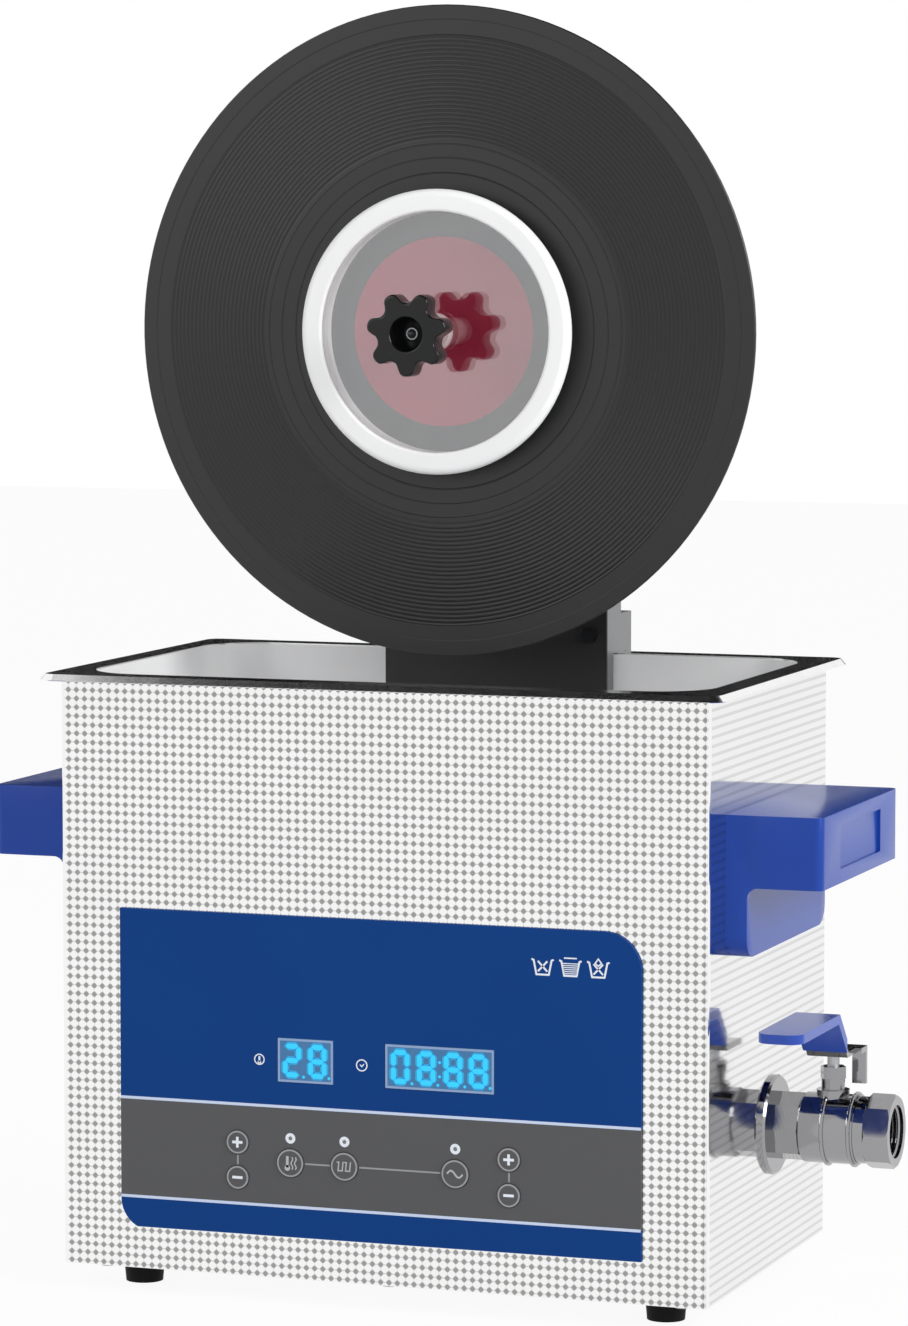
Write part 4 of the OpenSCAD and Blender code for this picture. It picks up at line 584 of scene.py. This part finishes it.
def ink(name, face_y, body, material, strokes=(), fills=()):
    """One printed piece: strokes and filled shapes in x, z millimetres on the face at y."""
    made = bmesh.new()

    def point(p, y):
        return made.verts.new((p[0] * MM, y * MM, p[1] * MM))

    back_y, front_y = face_y + 0.01, face_y - INK
    for left, right, closed in strokes:
        rows = [[point(p, y) for p in side] for y in (front_y, back_y) for side in (left, right)]
        count = len(left)
        for i in range(count if closed else count - 1):
            j = (i + 1) % count
            for one, two in ((0, 1), (1, 3), (3, 2), (2, 0)):
                made.faces.new((rows[one][i], rows[one][j], rows[two][j], rows[two][i]))
        if not closed:
            for i in (0, count - 1):
                made.faces.new((rows[0][i], rows[1][i], rows[3][i], rows[2][i]))
    for fill in fills:
        front, back = [point(p, front_y) for p in fill], [point(p, back_y) for p in fill]
        made.faces.new(front)
        made.faces.new(back[::-1])
        for i in range(len(fill)):
            j = (i + 1) % len(fill)
            made.faces.new((front[i], front[j], back[j], back[i]))
    piece = finished(made, name, material)
    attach(piece, body)


white_ink = finish("white_ink", "e9edf4", "e2e7f0", 0.5, 0.04, 0.3, 0.002, IOR=1.5)[0]
pale_ink = finish("pale_blue_ink", "ccd8ef", "c4d1ea", 0.5, 0.04, 0.3, 0.002, IOR=1.5)[0]
grey_ink = finish("light_grey_ink", "9b9b9c", "949495", 0.5, 0.04, 0.3, 0.002, IOR=1.5)[0]
print("inks are", INK, "mm thick")

# %% [markdown]
# ## Lines, pictograms and the frames of the displays
# Two pale lines bound the grey band. The three tubs in the corner are a crossed-out empty
# bath, a filled one, and a crossed-out one under a drop. A thermometer and a clock, each in
# a small ring, stand before the two displays.

# %% Panel print
PANEL_LOW, PANEL_HIGH = box_mm("control_panel")
WINDOW_LOW, WINDOW_HIGH = box_mm("display_windows")
PANEL_FACE, WINDOW_FACE = PANEL_LOW[1], WINDOW_LOW[1]
SHORT = 0.05
print_lines = [stroke([(PANEL_LOW[0] + SHORT, z), (PANEL_HIGH[0] - SHORT, z)], 1.3) for z in BAND]
ink("panel_lines", PANEL_FACE, "machine", pale_ink, print_lines)


def tub(x, z):
    """The outline of a bath with out-turned lips, about 10 by 8 mm."""
    return stroke([(x - 5.2, z + 3.2), (x - 4.2, z + 2.8), (x - 2.9, z - 3.6),
                   (x + 2.9, z - 3.6), (x + 4.2, z + 2.8), (x + 5.2, z + 3.2)], 0.85)


PICTOGRAMS = [(CASING_X + offset, 161.5) for offset in (78.9, 91.9, 104.9)]
signs = [tub(x, z) for x, z in PICTOGRAMS]
x, z = PICTOGRAMS[0]
signs += [stroke([(x - 2.2, z + 2.4), (x + 2.2, z - 2.2)], 0.85),
          stroke([(x + 2.2, z + 2.4), (x - 2.2, z - 2.2)], 0.85)]
x, z = PICTOGRAMS[1]
signs += [stroke([(x - 3.6 + 0.13 * i, z + 1.9 - 0.9 * i), (x + 3.6 - 0.13 * i, z + 1.9 - 0.9 * i)],
                 0.42) for i in range(6)]
signs += [stroke([(x - 3.0, z + 4.3), (x + 3.0, z + 4.3)], 0.6)]
x, z = PICTOGRAMS[2]
signs += [stroke([(x - 2.2, z + 2.2), (x + 2.2, z - 2.4)], 0.8),
          stroke([(x + 2.2, z + 2.2), (x - 2.2, z - 2.4)], 0.8),
          stroke([(x, z + 4.6), (x - 1.5, z + 2.6), (x, z + 1.4), (x + 1.5, z + 2.6)], 0.6, True)]
ink("panel_pictograms", PANEL_FACE, "machine", white_ink, signs)

DISPLAY_Z = (WINDOW_LOW[2] + WINDOW_HIGH[2]) / 2
FRAME_INSET, FRAME_HALF = 0.55, (WINDOW_HIGH[2] - WINDOW_LOW[2]) / 2 - 0.55
THERMOMETER_X, CLOCK_X = CASING_X - 56.6, CASING_X - 7.0
marks = [stroke(circle(THERMOMETER_X, 112.3, 2.3), 0.55, True),
         stroke([(THERMOMETER_X, 111.0), (THERMOMETER_X, 113.7)], 0.9),
         stroke(circle(CLOCK_X, 112.3, 2.5), 0.55, True),
         stroke([(CLOCK_X - 0.8, 112.6), (CLOCK_X, 111.7), (CLOCK_X + 1.1, 112.9)], 0.5)]
fills = [circle(THERMOMETER_X, 111.0, 0.85, 16)]
ink("display_signs", PANEL_FACE, "machine", white_ink, marks, fills)

DISPLAYS = [(CASING_X - 47.7, 26.8), (CASING_X + 4.2, 51.8)]
frames = []
for left, width in DISPLAYS:
    near, far = left + FRAME_INSET, left + width - FRAME_INSET
    low, high = DISPLAY_Z - FRAME_HALF, DISPLAY_Z + FRAME_HALF
    frames.append(stroke([(near, low), (far, low), (far, high), (near, high)], 1.05, True))
frame_ink = finish("display_frame_ink", "8ea6cc", "869fc6", 0.5, 0.04, 0.3, 0.002, IOR=1.5)[0]
ink("display_frames", WINDOW_FACE, "machine", frame_ink, frames)
print("pictograms:", len(PICTOGRAMS), "displays:", len(DISPLAYS))

# %% [markdown]
# ## Lit digits
# Each digit has seven bars with pointed ends, of which some are lit. The lit bars are
# thin pieces whose material gives off cyan light, as bright as white paper at most. The
# window in front spreads that light, so a wider and dimmer copy lies under each bar.

# %% Seven-segment digits
DIGIT_W, DIGIT_H, BAR, HALO = 8.8, 15.4, 2.3, 0.8
lit = finish("lit_segment", "1a86a8", "1a80a0", 0.4, 0.03, 1.0, 0.001, IOR=1.5,
             Specular_IOR_Level=0.1)[0]
give_light(lit, "3cbef2", 0.85)
halo = finish("lit_halo", "2f7fa4", "2b789c", 0.4, 0.03, 1.0, 0.001, IOR=1.5,
              Specular_IOR_Level=0.1)[0]
give_light(halo, "3496cb", 0.6)
BARS = {"a": (0, 1, 1), "b": (1, 0.5, 0), "c": (1, -0.5, 0), "d": (0, -1, 1),
        "e": (-1, -0.5, 0), "f": (-1, 0.5, 0), "g": (0, 0, 1)}
LIT_BARS = {"0": "abcdef", "2": "abged", "8": "abcdefg"}


def bar(x, z, length, level, grow):
    """One pointed bar, lying flat or standing, wider all round by grow."""
    h, w = length / 2 + grow, BAR / 2 + grow
    shape = [(-h, 0), (-h + w, -w), (h - w, -w), (h, 0), (h - w, w), (-h + w, w)]
    return [(x + a, z + b) if level else (x + b, z + a) for a, b in shape]


def digit(sign, x, z, grow=0.0):
    """The lit bars of one digit round its middle."""
    w, h = (DIGIT_W - BAR) / 2, (DIGIT_H - BAR) / 2
    out = []
    for key in LIT_BARS[sign]:
        across, up, level = BARS[key]
        out.append(bar(x + across * w, z + up * h, (2 * w if level else h) - 0.25, level, grow))
    return out


READINGS = [(sign, CASING_X + x) for sign, x in (("2", -40.8), ("8", -28.5), ("0", 11.4),
                                                ("8", 23.8), ("8", 36.6), ("8", 48.6))]
COLON_X = CASING_X + 30.2
bars = [shape for sign, x in READINGS for shape in digit(sign, x, DISPLAY_Z)]
bars += [circle(x, z, 0.7, 14) for x, z in
         [(COLON_X, 115.6), (COLON_X, 109.2)] + [(x + 5.6, 105.3) for _, x in READINGS]]
halos = [shape for sign, x in READINGS for shape in digit(sign, x, DISPLAY_Z, HALO)]
ink("display_glow", WINDOW_FACE, "machine", halo, fills=halos)
ink("display_digits", WINDOW_FACE - INK, "machine", lit, fills=bars)
print("digits:", "".join(sign for sign, _ in READINGS))

# %% [markdown]
# ## Button prints
# Every button carries a ring and a sign. They ride on their own button, so they go in with
# it when it is pressed. The lines that link the buttons stay on the panel.

# %% Rings, signs and links
BUTTON_FACE = box_mm("heating_button")[0][1]
BUTTON_Z, PAIR = 65.6, 8.1
TEMP_X, HEAT_X, DEGAS_X, ULTRA_X, TIME_X = [CASING_X + v for v in
                                           (-67.3, -41.6, -15.4, 37.7, 63.2)]
BIG_R, SMALL_R, RING = 6.5, 5.4, 0.75
for name, x in (("temp", TEMP_X), ("time", TIME_X)):
    for side, z in (("up", BUTTON_Z + PAIR), ("down", BUTTON_Z - PAIR)):
        button = f"{name}_{side}_button"
        ink(button + "_ring", BUTTON_FACE, button, grey_ink,
            [stroke(circle(x, z, SMALL_R - 0.55), RING, True)])
        cross = [stroke([(x - 2.5, z), (x + 2.5, z)], 1.25)]
        if side == "up":
            cross += [stroke([(x, z + 0.62), (x, z + 2.5)], 1.25),
                      stroke([(x, z - 0.62), (x, z - 2.5)], 1.25)]
        ink(button + "_sign", BUTTON_FACE, button, white_ink, cross)


def wave(x, z, width, height, turns, upright=False):
    """A sine line, lying or standing."""
    steps = [i / 24 for i in range(25)]
    run = [((t - 0.5) * width, height / 2 * math.sin(2 * math.pi * turns * t)) for t in steps]
    return [(x + b, z + a) if upright else (x + a, z + b) for a, b in run]


soft_ink = finish("soft_grey_ink", "b9b9bb", "b1b1b3", 0.5, 0.04, 0.3, 0.002, IOR=1.5)[0]
SIGNS = {
    "heating": (HEAT_X, [stroke([(HEAT_X - 1.3, BUTTON_Z - 2.0), (HEAT_X - 1.3, BUTTON_Z + 3.2)],
                                1.3),
                         stroke(wave(HEAT_X + 0.9, BUTTON_Z, 5.6, 0.8, 1.5, True), 0.55),
                         stroke(wave(HEAT_X + 2.6, BUTTON_Z, 5.6, 0.8, 1.5, True), 0.55)],
                [circle(HEAT_X - 1.3, BUTTON_Z - 2.2, 1.35, 20)]),
    "degas": (DEGAS_X, [stroke([(DEGAS_X - 3.5 + s, BUTTON_Z + 2.0),
                                (DEGAS_X - 2.5 + s, BUTTON_Z + 2.0),
                                (DEGAS_X - 2.9 + s, BUTTON_Z - 1.9),
                                (DEGAS_X - 0.9 + s, BUTTON_Z - 1.9),
                                (DEGAS_X - 0.5 + s, BUTTON_Z + 2.0),
                                (DEGAS_X - 0.2 + s, BUTTON_Z + 2.0)], 0.55)
                        for s in (0, 3.6)], []),
    "ultrasonic": (ULTRA_X, [stroke(wave(ULTRA_X, BUTTON_Z, 7.4, 3.0, 1), 0.8)], []),
}
for name, (x, strokes, fills) in SIGNS.items():
    button = name + "_button"
    ink(button + "_ring", BUTTON_FACE, button, grey_ink,
        [stroke(circle(x, BUTTON_Z, BIG_R - 0.55), RING, True)])
    ink(button + "_sign", BUTTON_FACE, button, soft_ink, strokes, fills)

links = [stroke([(HEAT_X + BIG_R + 0.6, BUTTON_Z), (DEGAS_X - BIG_R - 0.6, BUTTON_Z)], 0.75),
         stroke([(DEGAS_X + BIG_R + 0.6, BUTTON_Z), (ULTRA_X - BIG_R - 0.6, BUTTON_Z)], 0.75)]
gap = PAIR - SMALL_R - 0.6
links += [stroke([(x, BUTTON_Z - gap), (x, BUTTON_Z + gap)], 0.75) for x in (TEMP_X, TIME_X)]
ink("button_links", PANEL_FACE, "machine", grey_ink, links)

LIGHT_Z = BUTTON_Z + 11.3
rings = [stroke(circle(x, LIGHT_Z, 1.65), 1.5, True) for x in (HEAT_X, DEGAS_X, ULTRA_X)]
ink("light_rings", PANEL_FACE, "machine", white_ink, rings)
unlit = finish("unlit_lens", "77787b", "6f7073", 0.3, 0.04, 0.5, 0.002, IOR=1.58)[0]
ink("light_centres", PANEL_FACE, "machine", unlit,
    fills=[circle(x, LIGHT_Z, 0.95, 20) for x in (HEAT_X, DEGAS_X, ULTRA_X)])
print("buttons printed:", 4 + len(SIGNS))

# %% [markdown]
# ## Rounded handles
# A moulded handle has no sharp edge, or it would stick in its mould. The imported mesh stays
# as it is, and three modifiers work on top of it: a small node tree shades every face smooth,
# Weld joins the corners that each face has of its own, and Bevel rounds every edge that
# turns by more than 40 degrees.

# %% Round the handles' edges
smoothing = bpy.data.node_groups.new("smooth_shading", "GeometryNodeTree")
for side in ("INPUT", "OUTPUT"):
    smoothing.interface.new_socket("Geometry", in_out=side, socket_type="NodeSocketGeometry")
entering = add(smoothing, "GroupInput", family="Node")
smooth = add(smoothing, "SetShadeSmooth", {"Geometry": entering.outputs[0]},
             family="GeometryNode")
add(smoothing, "GroupOutput", {0: smooth.outputs[0]}, family="Node")
for name in ("handle_left", "handle_right"):
    shading = nodes[name].modifiers.new("smooth_shading", "NODES")
    shading.node_group = smoothing
    weld = nodes[name].modifiers.new("joined_corners", "WELD")
    weld.merge_threshold = 0.01 * MM
    rounding = nodes[name].modifiers.new("mould_radius", "BEVEL")
    rounding.width, rounding.segments = 2.2 * MM, 4
    rounding.limit_method, rounding.angle_limit = "ANGLE", math.radians(40)
    rounding.harden_normals = True
print("handles rounded")

# %% [markdown]
# ## Star knob
# The knob is moulded with seven full round lobes, for wet fingers. Its outline is a circle
# whose radius swells seven times; tanh widens the swellings, because a plain cosine gives
# pointed ones. Rings of points, one behind the other, round the edges and sink the hollow
# in which the spindle's end shows.

# %% Star knob
KNOB_LOW, KNOB_HIGH = box_mm("clamp_knob")
LOBES, TIP_R, VALLEY_R, ROUND, HOLLOW_R, BORE_R, FLOOR_DEEP = 7, 19.4, 14.3, 1.2, 7.7, 3.62, 9.0
STEEP, KNOB_POINTS = 1.5, 168


def lobed_ring(made, y, inset, count=KNOB_POINTS):
    """A ring of points on the knob's outline at y, drawn in by inset."""
    ring = []
    for i in range(count):
        turn = 2 * math.pi * i / count
        swell = math.tanh(STEEP * math.cos(LOBES * turn)) / math.tanh(STEEP)
        r = (TIP_R + VALLEY_R) / 2 + (TIP_R - VALLEY_R) / 2 * swell - inset
        ring.append(made.verts.new(((SPINDLE_X + r * math.sin(turn)) * MM, y * MM,
                                    (SPINDLE_Z - r * math.cos(turn)) * MM)))
    return ring


def round_ring(made, y, r, count=KNOB_POINTS):
    """A ring of points on a circle at y."""
    return [made.verts.new(((SPINDLE_X + r * math.sin(2 * math.pi * i / count)) * MM, y * MM,
                            (SPINDLE_Z - r * math.cos(2 * math.pi * i / count)) * MM))
            for i in range(count)]


def sweep_rings(made, rings):
    """Faces between each ring and the next, and from the last back to the first."""
    for one, two in zip(rings, rings[1:] + rings[:1]):
        for i in range(len(one)):
            j = (i + 1) % len(one)
            made.faces.new((one[i], one[j], two[j], two[i]))


made = bmesh.new()
front_y, back_y = KNOB_LOW[1] + 0.02, KNOB_HIGH[1]
bends = [math.radians(90 * i / 5) for i in range(6)]
rings = [lobed_ring(made, back_y - ROUND * (1 - math.cos(a)), ROUND * (1 - math.sin(a)))
         for a in bends]
rings += [lobed_ring(made, front_y + ROUND * (1 - math.sin(a)), ROUND * (1 - math.cos(a)))
          for a in bends]
rings += [lobed_ring(made, front_y, ROUND + 0.3), round_ring(made, front_y, HOLLOW_R + 1.0),
          round_ring(made, front_y, HOLLOW_R + 0.7), round_ring(made, front_y + 0.7, HOLLOW_R),
          round_ring(made, front_y + FLOOR_DEEP, HOLLOW_R - 0.3),
          round_ring(made, front_y + FLOOR_DEEP, BORE_R), round_ring(made, back_y, BORE_R)]
sweep_rings(made, rings)
knob = finished(made, "star_knob", finishes["moulded_knob"])
for face in knob.data.polygons:
    face.use_smooth = True
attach(knob, "clamp")
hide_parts("clamp_knob")
print("knob:", LOBES, "lobes,", len(knob.data.polygons), "faces")

# %% [markdown]
# ## Thread in the valve's mouth
# The mouth takes a hose tail, so it has a female pipe thread. One turned profile with a
# ridge every 1.8 mm, swept round the valve's axis, shows as rings of light in the mouth.

# %% Thread turns
MOUTH_LOW, MOUTH_HIGH = box_mm("valve_end")
MOUTH_R, THREAD_PITCH, THREAD_DEEP, TURNS = 12.2, 1.81, 0.95, 6
axis_y, axis_z = (MOUTH_LOW[1] + MOUTH_HIGH[1]) / 2, (MOUTH_LOW[2] + MOUTH_HIGH[2]) / 2
made = bmesh.new()


def turned_ring(x, r, count=72):
    return [made.verts.new((x * MM, (axis_y + r * math.cos(2 * math.pi * i / count)) * MM,
                            (axis_z + r * math.sin(2 * math.pi * i / count)) * MM))
            for i in range(count)]


start = MOUTH_HIGH[0] - 1.6
profile = [(start, MOUTH_R + 0.15), (start, MOUTH_R - 0.1)]
for i in range(TURNS):
    x = start - i * THREAD_PITCH
    profile += [(x - 0.35 * THREAD_PITCH, MOUTH_R - THREAD_DEEP),
                (x - 0.65 * THREAD_PITCH, MOUTH_R - THREAD_DEEP), (x - THREAD_PITCH, MOUTH_R - 0.1)]
profile += [(start - TURNS * THREAD_PITCH, MOUTH_R + 0.15)]
sweep_rings(made, [turned_ring(x, r) for x, r in profile])
thread = finished(made, "mouth_thread", finishes["chrome_plate"])
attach(thread, "machine")
print("thread turns:", TURNS)
